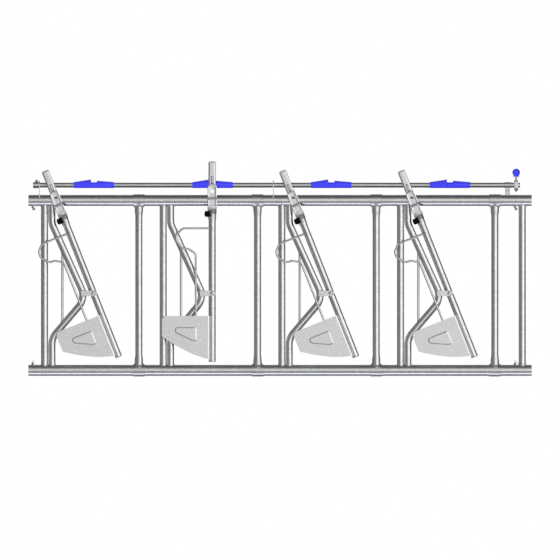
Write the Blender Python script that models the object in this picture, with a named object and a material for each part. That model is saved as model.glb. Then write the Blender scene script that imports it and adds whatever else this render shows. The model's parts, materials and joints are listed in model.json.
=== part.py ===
"""Self-locking cattle headlock panel with four places, in metres, +Z up.

+X runs along the rails, the feeding side faces -Y, and the origin is the middle
of the lower rail's axis. Each place has a bent neck tube that is fixed, and a
gate tube that swings on a bolt beside it. A fork on top of each gate straddles
the upper rail and the release bar, and a falling tooth in the fork drops into
a notch in the catch on that bar.
"""
import math

import bmesh
import bpy
from mathutils import Matrix, Vector

# Clearances
GAP = 0.0003                 # between two pieces that touch
TURN_GAP = 0.0004            # round a bar or bolt that turns in its hole
SLIDE_GAP = 0.0003           # beside a piece that slides

# Rails
RAIL_RADIUS = 0.033
RAIL_WALL = 0.0035
RAIL_SPACING = 1.0128        # from the lower axis to the upper one

# Posts, neck tubes and gate tubes, all cut from one tube
TUBE_RADIUS = 0.0212
TUBE_WALL = 0.0026

# Places along the rails, each measured from its gate's pivot
PLACES = 4
CLOSED_PLACE = 2             # the place whose gate stands upright, the others are open
PLACE_PITCH = 0.7072
FIRST_PIVOT_INSET = 0.3882   # from the rails' left end
LAST_PIVOT_INSET = 0.4902    # from the rails' right end
PIVOT_HEIGHT = 0.4592        # above the lower rail's axis
SIDE_POST_OFFSET = -0.2919
DIVIDER_OFFSET = 0.2704
END_POST_INSET = 0.0565      # from the rails' right end

# Neck tube, bent to a blunt point at the pivot
NECK_GAP = 0.0016            # between its upright ends and the side post
NECK_BEND_ABOVE_STOP = 0.0067   # from the lower corner of an open gate's rubber stop
NECK_POINT_X = -0.0459
NECK_POINT_Z = -0.0298
NECK_LOWER_BEND = -0.2676
NECK_BEND_RADIUS = 0.105
FILLER_RADIUS = 0.008
FILLER_OFFSET = -0.1854

# Sockets that join the divider posts to the rails
SOCKET_WALL = 0.0035
SOCKET_SHOULDER = 0.005       # of the ring, beside the collar
SOCKET_TAPER = 0.0075
SOCKET_LIP = 0.001
SOCKET_REACH = 0.088         # from the rail's axis to the end of the collar

# Pivot
PIVOT_BOLT_RADIUS = 0.008
PIVOT_PLATE_THICK = 0.005
PIVOT_PLATE_HALF = 0.016
PIVOT_PLATE_LEFT = -0.0724
PIVOT_PLATE_RIGHT = 0.0206
PIVOT_PAD_LENGTH = 0.0124
PIVOT_HEAD_RADIUS = 0.0138
PIVOT_HEAD_THICK = 0.008
PIVOT_NUT_THICK = 0.013
BOLT_END = 0.002             # thread that stands out of a nut

# Welded nuts near the ends of the rails, for screws that grip a connecting tube
CLAMP_LEFT_INSET = 0.0318
CLAMP_RIGHT_INSET = 0.0937
CLAMP_SCREW_RADIUS = 0.006
CLAMP_NUT_RADIUS = 0.015
CLAMP_NUT_THICK = 0.0127

# Release bar
BAR_RADIUS = 0.015
BAR_WALL = 0.003
BAR_RISE = 0.0908            # above the upper rail's axis
BAR_LEFT_INSET = 0.028
BAR_RIGHT_INSET = 0.070
BEARING_PLATE_THICK = 0.0055
BEARING_PLATE_HALF = 0.0275
LEFT_BEARING_INSET = 0.0660   # from the rails' left end
MIDDLE_BEARING_INSET = 0.0503   # left of the side post that follows the middle
END_BEARING_INSET = 0.1441   # from the rails' right end to its middle
END_BEARING_LENGTH = 0.0363
END_BEARING_WALL = 0.0026
END_FOOT_WIDTH = 0.0283
END_FOOT_DEPTH = 0.030

# Catches on the release bar, along X from the pivot and out from the bar's axis
CATCH_LEFT = -0.1186
CATCH_RIGHT = 0.1234
CATCH_SLEEVE_WALL = 0.0021
CATCH_END_RADIUS = 0.0185
RAMP_RADIUS = 0.0345
HEEL_RADIUS = 0.027
NOTCH_LEFT = -0.015
NOTCH_RIGHT = 0.021
CATCH_SCREW_RADIUS = 0.003
CATCH_SCREW_OFFSET = 0.060

# Stop collar at the bar's left end
STOP_COLLAR_LENGTH = 0.034
STOP_COLLAR_WALL = 0.0032
STOP_SCREW_RADIUS = 0.004
STOP_SCREW_HEAD_RADIUS = 0.0085
STOP_SCREW_HEAD_THICK = 0.014
STOP_SCREW_INSET = 0.021     # from the bar's left end

# Handle at the bar's right end
HANDLE_INSET = 0.0225        # from the bar's right end to the stud
HANDLE_BLOCK_LENGTH = 0.025
HANDLE_BLOCK_DEPTH = 0.040
HANDLE_BLOCK_HEIGHT = 0.0365
STUD_RADIUS = 0.0056
STUD_BELOW = 0.0395          # below the bar's axis
STUD_IN_KNOB = 0.022
STUD_NUT_RADIUS = 0.012
STUD_NUT_THICK = 0.0145
KNOB_BASE = 0.0500           # above the bar's axis
KNOB_NECK_RADIUS = 0.017
KNOB_RADIUS = 0.023
KNOB_CENTRE = 0.0755         # above the bar's axis

# Gate: heights along the gate tube from its pivot
GATE_FOOT_CLEARANCE = 0.0172    # from the lower rail up to the tube of a shut gate
SLEEVE_LENGTH = 0.032
SLEEVE_WALL = 0.0020
COLLAR_LENGTH = 0.027
COLLAR_WALL = 0.0045
FORK_BASE_BELOW_RAIL = 0.0546   # from the upper rail's axis down to the base plate's top
FORK_BASE_THICK = 0.0047
FORK_SHEET = 0.0045
FORK_FOOT_HALF = 0.0203      # half the space between the cheeks at the base plate
FORK_CREASE_ABOVE_RAIL = 0.0094
FORK_TOP_ABOVE_BAR = 0.1411
FORK_BEND = 0.008
FORK_LOWER_HALF_WIDTH = 0.0275
FORK_UPPER_HALF_WIDTH = 0.0223
FORK_SHOULDER = 0.020        # height over which the fork narrows
FORK_CHEEK_CLEARANCE = 0.0055   # between the catch's ramp and the cheeks
LOCK_HOLE_RADIUS = 0.011
SLOT_BOTTOM_ABOVE_BAR = 0.0056
SLOT_TOP_ABOVE_BAR = 0.0496
SLOT_HALF_WIDTH = 0.005
FORK_BOLT_RADIUS = 0.004
FORK_BOLT_RISE = 0.018       # above the sleeve's lower end

# Falling tooth, drawn up in its slot
TOOTH_HALF_WIDTH = 0.013
TOOTH_HEIGHT = 0.016
TOOTH_BACK = 0.020           # from the bar's axis plane to the tooth's rear face
TOOTH_HEAD_RADIUS = 0.007
TOOTH_HEAD_THICK = 0.0035

# Rubber stop on the gate
BUFFER_LEFT = -0.044
BUFFER_RIGHT = -0.010
BUFFER_HEIGHT = 0.034
BUFFER_FRONT = 0.030
BUFFER_REAR = 0.012
BUFFER_BELOW_COLLAR = 0.015  # how far it hangs below the collar's lower end
BUFFER_CLEARANCE = 0.0050    # from an open gate's stop to the neck tube's upright end

# Guard rod, a loop in front of the neck tube
ROD_RADIUS = 0.00625
ROD_CLEARANCE = 0.00045
ROD_BEND_RADIUS = 0.030
ROD_X = -0.0974
ROD_LAP = 0.040              # length behind the guard plate
ROD_LOOP = (                 # corners of the loop, X and depth below the fork's sleeve
    (0.000, 0.053), (-0.176, 0.053), (-0.213, 0.090), (-0.215, 0.124),
    (-0.176, 0.174), (-0.146, 0.174), (-0.0974, 0.203),
)

# Guard plate at the foot of the gate, with heights above the gate tube's lower end
PLATE_THICK = 0.003
PLATE_WELD = 0.0005          # how far the rod is melted into the plate
PLATE_TOP = 0.2737
PLATE_LEFT = -0.2989
PLATE_FOLD_X = -0.0260       # where the sheet steps back to the gate tube
FLANGE_LEFT = -0.0160
FLANGE_RIGHT = -0.0040
TAB_RIGHT = 0.0030
UPPER_TAB_HEIGHT = 0.070
LOWER_TAB_TOP = 0.077
LOWER_TAB_BOTTOM = 0.009
PLATE_EDGE = (               # lower edge from the tube to the left side, X and height
    (-0.0247, 0.0180), (-0.0939, 0.0335), (-0.1576, 0.0633),
    (-0.2292, 0.1033), (-0.2798, 0.1348),
)
PLATE_LEFT_BOTTOM = 0.1533
PLATE_LEFT_TOP = 0.2546
PLATE_TOP_CORNER = -0.2828
EMBOSS_TIP = (-0.202, 0.1875)
EMBOSS_TIP_RADIUS = 0.0175
EMBOSS_UPPER = (-0.108, 0.1965)
EMBOSS_LOWER = (-0.108, 0.1340)
EMBOSS_CORNER_RADIUS = 0.009
EMBOSS_SLOPE = 0.005
EMBOSS_DEPTH = 0.005

# Number of sides on round pieces
RAIL_SIDES = 16
TUBE_SIDES = 12
ROD_SIDES = 8
SMALL_SIDES = 8
BEND_STEP = 24               # degrees between the rings of a bend

# Heights and places that follow from the sizes above
RAIL_LENGTH = FIRST_PIVOT_INSET + (PLACES - 1) * PLACE_PITCH + LAST_PIVOT_INSET
LEFT_END = -RAIL_LENGTH / 2
RIGHT_END = RAIL_LENGTH / 2
RAIL_HEIGHT = RAIL_SPACING - PIVOT_HEIGHT       # upper rail's axis above the pivots
BAR_HEIGHT = RAIL_HEIGHT + BAR_RISE             # release bar's axis above the pivots
BAR_Z = RAIL_SPACING + BAR_RISE
BAR_LEFT = LEFT_END + BAR_LEFT_INSET
BAR_RIGHT = RIGHT_END - BAR_RIGHT_INSET
HANDLE_X = BAR_RIGHT - HANDLE_INSET
NECK_X = SIDE_POST_OFFSET + 2 * TUBE_RADIUS + NECK_GAP
SLEEVE_RADIUS = TUBE_RADIUS + GAP + SLEEVE_WALL
COLLAR_RADIUS = TUBE_RADIUS + GAP + COLLAR_WALL
FORK_BASE = RAIL_HEIGHT - FORK_BASE_BELOW_RAIL
COLLAR_BOTTOM = FORK_BASE - COLLAR_LENGTH
SLEEVE_BOTTOM = COLLAR_BOTTOM - SLEEVE_LENGTH
SOCKET_RING_HALF = TUBE_RADIUS + GAP + SOCKET_WALL + SOCKET_SHOULDER
GATE_TUBE_BOTTOM = -(PIVOT_HEIGHT - RAIL_RADIUS - GATE_FOOT_CLEARANCE)
BUFFER_BOTTOM = COLLAR_BOTTOM - BUFFER_BELOW_COLLAR
BUFFER_TOP = BUFFER_BOTTOM + BUFFER_HEIGHT
OPEN_REACH = -(NECK_X + TUBE_RADIUS + BUFFER_CLEARANCE)
OPEN_ANGLE = math.asin(OPEN_REACH / math.hypot(BUFFER_TOP, BUFFER_LEFT)) - math.atan(-BUFFER_LEFT / BUFFER_TOP)
STOP_HEIGHT = BUFFER_BOTTOM * math.cos(OPEN_ANGLE) + BUFFER_LEFT * math.sin(OPEN_ANGLE)
NECK_UPPER_BEND = STOP_HEIGHT + NECK_BEND_ABOVE_STOP
FORK_INSIDE = RAMP_RADIUS + FORK_CHEEK_CLEARANCE
CATCH_SLEEVE_RADIUS = BAR_RADIUS + GAP + CATCH_SLEEVE_WALL
STUD_IN_SLOT = SLOT_HALF_WIDTH - SLIDE_GAP
TOOTH_UP = BAR_HEIGHT + SLOT_TOP_ABOVE_BAR - SLOT_HALF_WIDTH - SLIDE_GAP
ROD_Y = -(TUBE_RADIUS + ROD_CLEARANCE + ROD_RADIUS)
PLATE_BACK = ROD_Y - ROD_RADIUS + PLATE_WELD
PLATE_MIDDLE = PLATE_BACK - PLATE_THICK / 2
FLANGE_MIDDLE = -(TUBE_RADIUS + GAP + PLATE_THICK / 2)


def pivot_x(place):
    """X of the pivot of a place, counted from 1 at the left."""
    return LEFT_END + FIRST_PIVOT_INSET + (place - 1) * PLACE_PITCH


def clear_scene():
    """Start from an empty scene."""
    for item in list(bpy.data.objects):
        bpy.data.objects.remove(item, do_unlink=True)


def make_material(name, colour, roughness, metallic):
    """A plain shader with one colour."""
    material = bpy.data.materials.new(name)
    material.use_nodes = True
    shader = material.node_tree.nodes["Principled BSDF"]
    shader.inputs["Base Color"].default_value = (*colour, 1.0)
    shader.inputs["Roughness"].default_value = roughness
    shader.inputs["Metallic"].default_value = metallic
    material.diffuse_color = (*colour, 1.0)
    return material


def to_mesh(bm):
    """Turn a bmesh into a mesh whose faces point out."""
    bmesh.ops.recalc_face_normals(bm, faces=bm.faces)
    mesh = bpy.data.meshes.new("shape")
    bm.to_mesh(mesh)
    bm.free()
    return mesh


def loft(sections, ring=False):
    """Skin equal loops of points. A ring of sections closes on itself, other ends get caps."""
    bm = bmesh.new()
    loops = [[bm.verts.new(point) for point in section] for section in sections]
    pairs = list(zip(loops, loops[1:]))
    if ring:
        pairs.append((loops[-1], loops[0]))
    else:
        bm.faces.new(reversed(loops[0]))
        bm.faces.new(loops[-1])
    for low, high in pairs:
        count = len(low)
        for i in range(count):
            j = (i + 1) % count
            bm.faces.new((low[i], low[j], high[j], high[i]))
    return to_mesh(bm)


def ellipse(centre, across, along, sides):
    """Points round a centre, spanned by two half axes."""
    turn = 2 * math.pi / sides
    return [centre + across * math.cos(i * turn) + along * math.sin(i * turn) for i in range(sides)]


def turned(axis, origin, profile, sides):
    """A solid of circles along X, Y or Z, from pairs of distance and radius."""
    direction = Vector([float(name == axis) for name in "XYZ"])
    across = Vector((0, 0, 1)) if axis != "Z" else Vector((1, 0, 0))
    along = direction.cross(across)
    return loft([
        ellipse(Vector(origin) + direction * distance, across * radius, along * radius, sides)
        for distance, radius in profile
    ])


def cylinder(axis, origin, radius, start, end, sides):
    """A round bar along X, Y or Z between two distances from its origin."""
    return turned(axis, origin, ((start, radius), (end, radius)), sides)


def box(low, high):
    """A block between two corners."""
    corners = ((low[0], low[1]), (high[0], low[1]), (high[0], high[1]), (low[0], high[1]))
    return loft([[Vector((x, y, z)) for x, y in corners] for z in (low[2], high[2])])


def prism(plane, outline, start, end):
    """Push a flat outline, in the plane XZ, YZ or XY, along the third axis."""
    def point(a, b, depth):
        return Vector({"XZ": (a, depth, b), "YZ": (depth, a, b), "XY": (a, b, depth)}[plane])
    return loft([[point(a, b, depth) for a, b in outline] for depth in (start, end)])


def arc(centre, radius, first, last, steps):
    """Flat points on an arc, with angles in degrees."""
    angles = [math.radians(first + (last - first) * i / steps) for i in range(steps + 1)]
    return [(centre[0] + radius * math.cos(a), centre[1] + radius * math.sin(a)) for a in angles]


def rounded(corners, radius):
    """Replace each inner corner of a flat route by an arc."""
    points = [Vector(corners[0])]
    for before, corner, after in zip(corners, corners[1:], corners[2:]):
        corner = Vector(corner)
        back = Vector(before) - corner
        ahead = Vector(after) - corner
        bend = math.pi - back.angle(ahead)
        reach = radius * math.tan(bend / 2)
        reach = min(reach, 0.49 * back.length, 0.49 * ahead.length)
        bend_radius = reach / math.tan(bend / 2)
        middle = (back.normalized() + ahead.normalized()).normalized()
        centre = corner + middle * (bend_radius / math.cos(bend / 2))
        start = corner + back.normalized() * reach - centre
        turn = start.angle_signed(corner + ahead.normalized() * reach - centre)
        steps = max(1, math.ceil(math.degrees(bend) / BEND_STEP))
        for i in range(steps + 1):
            spoke = start.copy()
            spoke.rotate(Matrix.Rotation(-turn * i / steps, 2))
            points.append(centre + spoke)
    points.append(Vector(corners[-1]))
    return points


def stations(route, depth):
    """Place, and direction across, at each point of a flat route at one depth."""
    found = []
    for i, point in enumerate(route):
        before = route[max(i - 1, 0)]
        after = route[min(i + 1, len(route) - 1)]
        direction = (after - before).normalized()
        across = Vector((direction.y, 0, -direction.x))
        found.append((Vector((point.x, depth, point.y)), across))
    return found


def rod(route, depth, radius, sides):
    """A solid round bar along a flat route."""
    return loft([
        ellipse(place, Vector((0, radius, 0)), across * radius, sides)
        for place, across in stations(route, depth)
    ])


def tube(route, radius, wall, sides):
    """A hollow tube along a flat route."""
    def skin(size):
        return [
            ellipse(place, Vector((0, size, 0)), across * size, sides)
            for place, across in stations(route, 0)
        ]
    return loft(skin(radius) + skin(radius - wall)[::-1], ring=True)


def combine(mesh, others, operation):
    """Join, cut or intersect closed meshes and return the result."""
    for other in others:
        body = bpy.data.objects.new("body", mesh)
        tool = bpy.data.objects.new("tool", other)
        for item in (body, tool):
            bpy.context.scene.collection.objects.link(item)
        modifier = body.modifiers.new("shape", "BOOLEAN")
        modifier.object = tool
        modifier.operation = operation
        modifier.solver = "EXACT"
        graph = bpy.context.evaluated_depsgraph_get()
        result = bpy.data.meshes.new_from_object(body.evaluated_get(graph))
        bpy.data.objects.remove(body)
        bpy.data.objects.remove(tool)
        mesh = result
    return mesh


def cut(mesh, *others):
    return combine(mesh, others, "DIFFERENCE")


def fuse(mesh, *others):
    return combine(mesh, others, "UNION")


def add_piece(name, mesh, material, place=(0, 0, 0), parent=None):
    """Make one named piece, shaded smooth where it is round."""
    mesh.name = name
    mesh.materials.clear()
    mesh.materials.append(material)
    mesh.shade_smooth()
    mesh.set_sharp_from_angle(angle=math.radians(35))
    piece = bpy.data.objects.new(name, mesh)
    bpy.context.scene.collection.objects.link(piece)
    piece.location = place
    piece.parent = parent
    return piece


def add_axis(name, place, turn_y=0.0):
    """An empty on a joint's axis, which carries the pieces that move on it."""
    empty = bpy.data.objects.new(name, None)
    bpy.context.scene.collection.objects.link(empty)
    empty.location = place
    empty.rotation_euler = (0, turn_y, 0)
    return empty


def rail_cutter(z):
    """The space of a rail and its gap, along the whole panel."""
    reach = RAIL_LENGTH
    return cylinder("X", (0, 0, z), RAIL_RADIUS + GAP, -reach, reach, RAIL_SIDES)


def coped(mesh):
    """Shape the ends of an upright tube to both rails."""
    return cut(mesh, rail_cutter(0), rail_cutter(RAIL_SPACING))


def nut(axis, origin, radius, start, end):
    """A hexagon nut, solid until its thread is cut."""
    return cylinder(axis, origin, radius, start, end, 6)


def make_rails(steel):
    """Two rails, each with two nuts welded over holes on the side of the openings."""
    half = RAIL_LENGTH / 2
    bore = RAIL_RADIUS - RAIL_WALL
    for name, z, side in (("bottom_rail", 0, 1), ("top_rail", RAIL_SPACING, -1)):
        rail = cylinder("X", (0, 0, 0), RAIL_RADIUS, -half, half, RAIL_SIDES)
        weld = side * (RAIL_RADIUS - RAIL_WALL / 2)
        nut_end = side * (RAIL_RADIUS + CLAMP_NUT_THICK)
        places = (LEFT_END + CLAMP_LEFT_INSET, RIGHT_END - CLAMP_RIGHT_INSET)
        nuts = [nut("Z", (x, 0, 0), CLAMP_NUT_RADIUS, weld, nut_end) for x in places]
        holes = [
            cylinder("Z", (x, 0, 0), CLAMP_SCREW_RADIUS + GAP, 0, 2 * nut_end, SMALL_SIDES)
            for x in places
        ]
        inside = cylinder("X", (0, 0, 0), bore, -RAIL_LENGTH, RAIL_LENGTH, RAIL_SIDES)
        add_piece(name, cut(fuse(rail, *nuts), inside, *holes), steel, (0, 0, z))


def make_posts(steel):
    """Upright tubes between the rails."""
    upright = [Vector((0, 0)), Vector((0, RAIL_SPACING))]
    post = coped(tube(upright, TUBE_RADIUS, TUBE_WALL, TUBE_SIDES))
    for place in range(1, PLACES + 1):
        add_piece(f"side_post_{place}", post.copy(), steel, (pivot_x(place) + SIDE_POST_OFFSET, 0, 0))
        add_piece(f"divider_post_{place}", post.copy(), steel, (pivot_x(place) + DIVIDER_OFFSET, 0, 0))
    add_piece("end_post", post.copy(), steel, (RIGHT_END - END_POST_INSET, 0, 0))


def make_sockets(cast):
    """Cast tees that wrap a rail and hold the end of a divider post."""
    ring_radius = RAIL_RADIUS + GAP + SOCKET_WALL
    lip_radius = RAIL_RADIUS + GAP + SOCKET_LIP
    ring_end = SOCKET_RING_HALF + SOCKET_TAPER
    ring = turned("X", (0, 0, 0), (
        (-ring_end, lip_radius), (-SOCKET_RING_HALF, ring_radius),
        (SOCKET_RING_HALF, ring_radius), (ring_end, lip_radius),
    ), RAIL_SIDES)
    collar_radius = TUBE_RADIUS + GAP + SOCKET_WALL
    collar_lip = TUBE_RADIUS + GAP + SOCKET_LIP
    collar = turned("Z", (0, 0, 0), (
        (RAIL_RADIUS / 2, collar_radius), (SOCKET_REACH - SOCKET_TAPER, collar_radius),
        (SOCKET_REACH, collar_lip),
    ), TUBE_SIDES)
    foot = RAIL_RADIUS * 0.6
    inside = collar_radius - GAP
    flare = loft([
        ellipse(Vector((0, 0, foot + rise)), Vector((width, 0, 0)), Vector((0, depth, 0)), TUBE_SIDES)
        for rise, width, depth in (
            (0, SOCKET_RING_HALF + SOCKET_TAPER / 2, inside),
            (ring_radius - foot, collar_radius + SOCKET_TAPER, inside),
            (ring_radius - foot + 2 * SOCKET_TAPER, inside, inside),
        )
    ])
    across = cylinder("X", (0, 0, 0), RAIL_RADIUS + GAP, -2 * ring_end, 2 * ring_end, RAIL_SIDES)
    upright = cylinder("Z", (0, 0, 0), TUBE_RADIUS + GAP, 0, 2 * SOCKET_REACH, TUBE_SIDES)
    socket = cut(fuse(ring, flare, collar), across, upright)
    for place in range(1, PLACES + 1):
        x = pivot_x(place) + DIVIDER_OFFSET
        add_piece(f"lower_tee_{place}", socket.copy(), cast, (x, 0, 0))
        upper = add_piece(f"upper_tee_{place}", socket.copy(), cast, (x, 0, RAIL_SPACING))
        upper.rotation_euler = (math.pi, 0, 0)


def neck_route():
    """The neck tube's centre line, from the pivot."""
    corners = (
        (NECK_X, -PIVOT_HEIGHT), (NECK_X, NECK_LOWER_BEND), (NECK_POINT_X, NECK_POINT_Z),
        (NECK_X, NECK_UPPER_BEND), (NECK_X, RAIL_HEIGHT),
    )
    return rounded(corners, NECK_BEND_RADIUS)


def pivot_plate(side):
    """A plate on the front or rear of the neck tube, with the pad that welds it there."""
    half = PIVOT_PLATE_HALF
    outline = [(PIVOT_PLATE_LEFT, -half)]
    outline += arc((PIVOT_PLATE_RIGHT - half, 0), half, -90, 90, 6)
    outline += [(PIVOT_PLATE_LEFT, half)]
    inner = side * (TUBE_RADIUS + TURN_GAP)
    plate = prism("XZ", outline, inner, inner + side * PIVOT_PLATE_THICK)
    weld = side * (TUBE_RADIUS - TUBE_WALL / 2)
    pad_end = PIVOT_PLATE_LEFT + PIVOT_PAD_LENGTH
    pad = prism("XZ", [
        (PIVOT_PLATE_LEFT, -half), (pad_end, -half), (pad_end, half), (PIVOT_PLATE_LEFT, half),
    ], weld, inner + side * PIVOT_PLATE_THICK / 2)
    return fuse(plate, pad)


def make_necks(steel):
    """The bent tubes, each with its filler rod and its pair of pivot plates welded on."""
    route = neck_route()
    neck = cut(
        tube(route, TUBE_RADIUS, TUBE_WALL, TUBE_SIDES),
        rail_cutter(-PIVOT_HEIGHT), rail_cutter(RAIL_HEIGHT),
    )
    along = (FILLER_OFFSET - NECK_X) / (NECK_POINT_X - NECK_X)
    top = NECK_UPPER_BEND + along * (NECK_POINT_Z - NECK_UPPER_BEND)
    bottom = NECK_LOWER_BEND + along * (NECK_POINT_Z - NECK_LOWER_BEND)
    filler = cylinder("Z", (FILLER_OFFSET, 0, 0), FILLER_RADIUS, bottom, top, ROD_SIDES)
    filler = cut(filler, rod(route, 0, TUBE_RADIUS - TUBE_WALL / 2, TUBE_SIDES))
    reach = 2 * TUBE_RADIUS
    hole = cylinder("Y", (0, 0, 0), PIVOT_BOLT_RADIUS + GAP, -reach, reach, SMALL_SIDES)
    neck = cut(fuse(neck, filler, pivot_plate(-1), pivot_plate(1)), hole)
    for place in range(1, PLACES + 1):
        add_piece(f"neck_tube_{place}", neck.copy(), steel, (pivot_x(place), 0, PIVOT_HEIGHT))


def make_pivot_bolts(zinc):
    """The bolts that the gates swing on, each with its nut."""
    seat = TUBE_RADIUS + TURN_GAP + PIVOT_PLATE_THICK + GAP
    nut_end = seat + PIVOT_NUT_THICK
    shank = cylinder("Y", (0, 0, 0), PIVOT_BOLT_RADIUS, -seat - GAP, nut_end + BOLT_END, SMALL_SIDES)
    head = nut("Y", (0, 0, 0), PIVOT_HEAD_RADIUS, -seat - PIVOT_HEAD_THICK, -seat)
    bolt = fuse(shank, head, nut("Y", (0, 0, 0), PIVOT_HEAD_RADIUS, seat, nut_end))
    for place in range(1, PLACES + 1):
        add_piece(f"pivot_bolt_{place}", bolt.copy(), zinc, (pivot_x(place), 0, PIVOT_HEIGHT))


def make_bearings(sheet, cast):
    """Two upright plates and an end bearing that carry the release bar on the upper rail."""
    half = BEARING_PLATE_HALF
    foot = RAIL_RADIUS / 3
    outline = [(-half, foot), (half, foot)] + arc((0, BAR_RISE), half, 0, 180, 10)
    thick = BEARING_PLATE_THICK / 2
    bore_radius = BAR_RADIUS + TURN_GAP
    bore = cylinder("X", (0, 0, BAR_RISE), bore_radius, -1, 1, RAIL_SIDES)
    plate = cut(prism("YZ", outline, -thick, thick), rail_cutter(0), bore)
    middle_post = pivot_x(PLACES // 2 + 1) + SIDE_POST_OFFSET
    for name, x in (("left", LEFT_END + LEFT_BEARING_INSET), ("middle", middle_post - MIDDLE_BEARING_INSET)):
        add_piece(f"{name}_bearing_plate", plate.copy(), sheet, (x, 0, RAIL_SPACING))

    length = END_BEARING_LENGTH / 2
    sleeve = cylinder("X", (0, 0, BAR_RISE), bore_radius + END_BEARING_WALL, -length, length, RAIL_SIDES)
    foot_half = END_FOOT_WIDTH / 2
    depth = END_FOOT_DEPTH / 2
    post = box((-foot_half, -depth, foot), (foot_half, depth, BAR_RISE))
    bearing = cut(fuse(sleeve, post), rail_cutter(0), bore)
    add_piece("end_bearing", bearing, cast, (RIGHT_END - END_BEARING_INSET, 0, RAIL_SPACING))


def bar_tube(start, end, radius, wall):
    """A straight tube on the release bar's axis."""
    body = cylinder("X", (0, 0, 0), radius, start, end, TUBE_SIDES)
    bore = cylinder("X", (0, 0, 0), radius - wall, start - wall, end + wall, TUBE_SIDES)
    return cut(body, bore)


def wing(start, end, start_radius, end_radius):
    """A quarter of a flared ring, from the front of the bar round to its top."""
    root = BAR_RADIUS + GAP + CATCH_SLEEVE_WALL / 2
    sections = []
    for x, radius in ((start, start_radius), (end, end_radius)):
        outline = arc((0, 0), radius, 180, 90, 6) + arc((0, 0), root, 90, 180, 6)
        sections.append([Vector((x, y, z)) for y, z in outline])
    return loft(sections)


def make_catch():
    """A plastic sleeve with a ramp, a notch and a heel."""
    sleeve = bar_tube(CATCH_LEFT, CATCH_RIGHT, CATCH_SLEEVE_RADIUS, CATCH_SLEEVE_WALL)
    ramp = wing(CATCH_LEFT, NOTCH_LEFT, CATCH_END_RADIUS, RAMP_RADIUS)
    heel = wing(NOTCH_RIGHT, CATCH_RIGHT, HEEL_RADIUS, CATCH_END_RADIUS)
    hole = cylinder("Y", (CATCH_SCREW_OFFSET, 0, 0), CATCH_SCREW_RADIUS + GAP, 0, 2 * BAR_RADIUS, SMALL_SIDES)
    return cut(fuse(sleeve, ramp, heel), hole)


def make_stop_collar(steel, zinc, axis):
    """A collar that keeps the bar in its bearings, and its set screw."""
    end = BAR_LEFT + STOP_COLLAR_LENGTH
    screw_x = BAR_LEFT + STOP_SCREW_INSET
    outside = BAR_RADIUS + GAP + STOP_COLLAR_WALL
    collar = bar_tube(BAR_LEFT, end, outside, STOP_COLLAR_WALL)
    hole = cylinder("Z", (screw_x, 0, 0), STOP_SCREW_RADIUS + GAP, 0, 2 * outside, SMALL_SIDES)
    add_piece("stop_collar", cut(collar, hole), steel, parent=axis)
    seat = outside + GAP
    shank = cylinder("Z", (screw_x, 0, 0), STOP_SCREW_RADIUS, BAR_RADIUS + GAP, seat + GAP, SMALL_SIDES)
    head = cylinder("Z", (screw_x, 0, 0), STOP_SCREW_HEAD_RADIUS, seat, seat + STOP_SCREW_HEAD_THICK, 6)
    add_piece("stop_screw", fuse(shank, head), zinc, parent=axis)


def make_handle(steel, zinc, blue, axis):
    """Block, stud with its two nuts, and ball knob at the bar's right end."""
    half = HANDLE_BLOCK_LENGTH / 2
    depth = HANDLE_BLOCK_DEPTH / 2
    tall = HANDLE_BLOCK_HEIGHT / 2
    stud_hole = cylinder("Z", (HANDLE_X, 0, 0), STUD_RADIUS + GAP, -1, 1, SMALL_SIDES)
    bore = cylinder("X", (0, 0, 0), BAR_RADIUS + GAP, -RAIL_LENGTH, RAIL_LENGTH, TUBE_SIDES)
    block = box((HANDLE_X - half, -depth, -tall), (HANDLE_X + half, depth, tall))
    add_piece("handle_block", cut(block, bore, stud_hole), steel, parent=axis)

    seat = tall + GAP
    stud_top = KNOB_BASE + STUD_IN_KNOB
    stud = cylinder("Z", (HANDLE_X, 0, 0), STUD_RADIUS, -STUD_BELOW, stud_top, SMALL_SIDES)
    lower_nut = nut("Z", (HANDLE_X, 0, 0), STUD_NUT_RADIUS, -seat - STUD_NUT_THICK, -seat)
    cone_nut = turned("Z", (HANDLE_X, 0, 0), (
        (seat, STUD_NUT_RADIUS), (seat + STUD_NUT_THICK / 2, STUD_NUT_RADIUS),
        (seat + STUD_NUT_THICK, STUD_RADIUS + 4 * GAP),
    ), SMALL_SIDES)
    add_piece("handle_stud", fuse(stud, lower_nut, cone_nut), zinc, parent=axis)

    neck_height = math.sqrt(KNOB_RADIUS ** 2 - KNOB_NECK_RADIUS ** 2)
    first = -math.degrees(math.asin(neck_height / KNOB_RADIUS))
    profile = [(KNOB_BASE, KNOB_NECK_RADIUS)]
    profile += [(KNOB_CENTRE + height, radius) for radius, height in arc((0, 0), KNOB_RADIUS, first, 80, 6)]
    knob = turned("Z", (HANDLE_X, 0, 0), profile, TUBE_SIDES)
    socket = cylinder("Z", (HANDLE_X, 0, 0), STUD_RADIUS + GAP, 0, stud_top + GAP, SMALL_SIDES)
    add_piece("ball_knob", cut(knob, socket), blue, parent=axis)


def make_release_bar(steel, zinc, blue):
    """The bar above the upper rail with everything that turns with it."""
    axis = add_axis("release_bar_axis", (0, 0, BAR_Z))
    bar = bar_tube(BAR_LEFT, BAR_RIGHT, BAR_RADIUS, BAR_WALL)
    stud_hole = cylinder("Z", (HANDLE_X, 0, 0), STUD_RADIUS + GAP, -1, 1, SMALL_SIDES)
    add_piece("release_bar", cut(bar, stud_hole), steel, parent=axis)
    make_stop_collar(steel, zinc, axis)
    make_handle(steel, zinc, blue, axis)
    catch = make_catch()
    for place in range(1, PLACES + 1):
        add_piece(f"catch_{place}", catch.copy(), blue, (pivot_x(place), 0, 0), axis)


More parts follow.
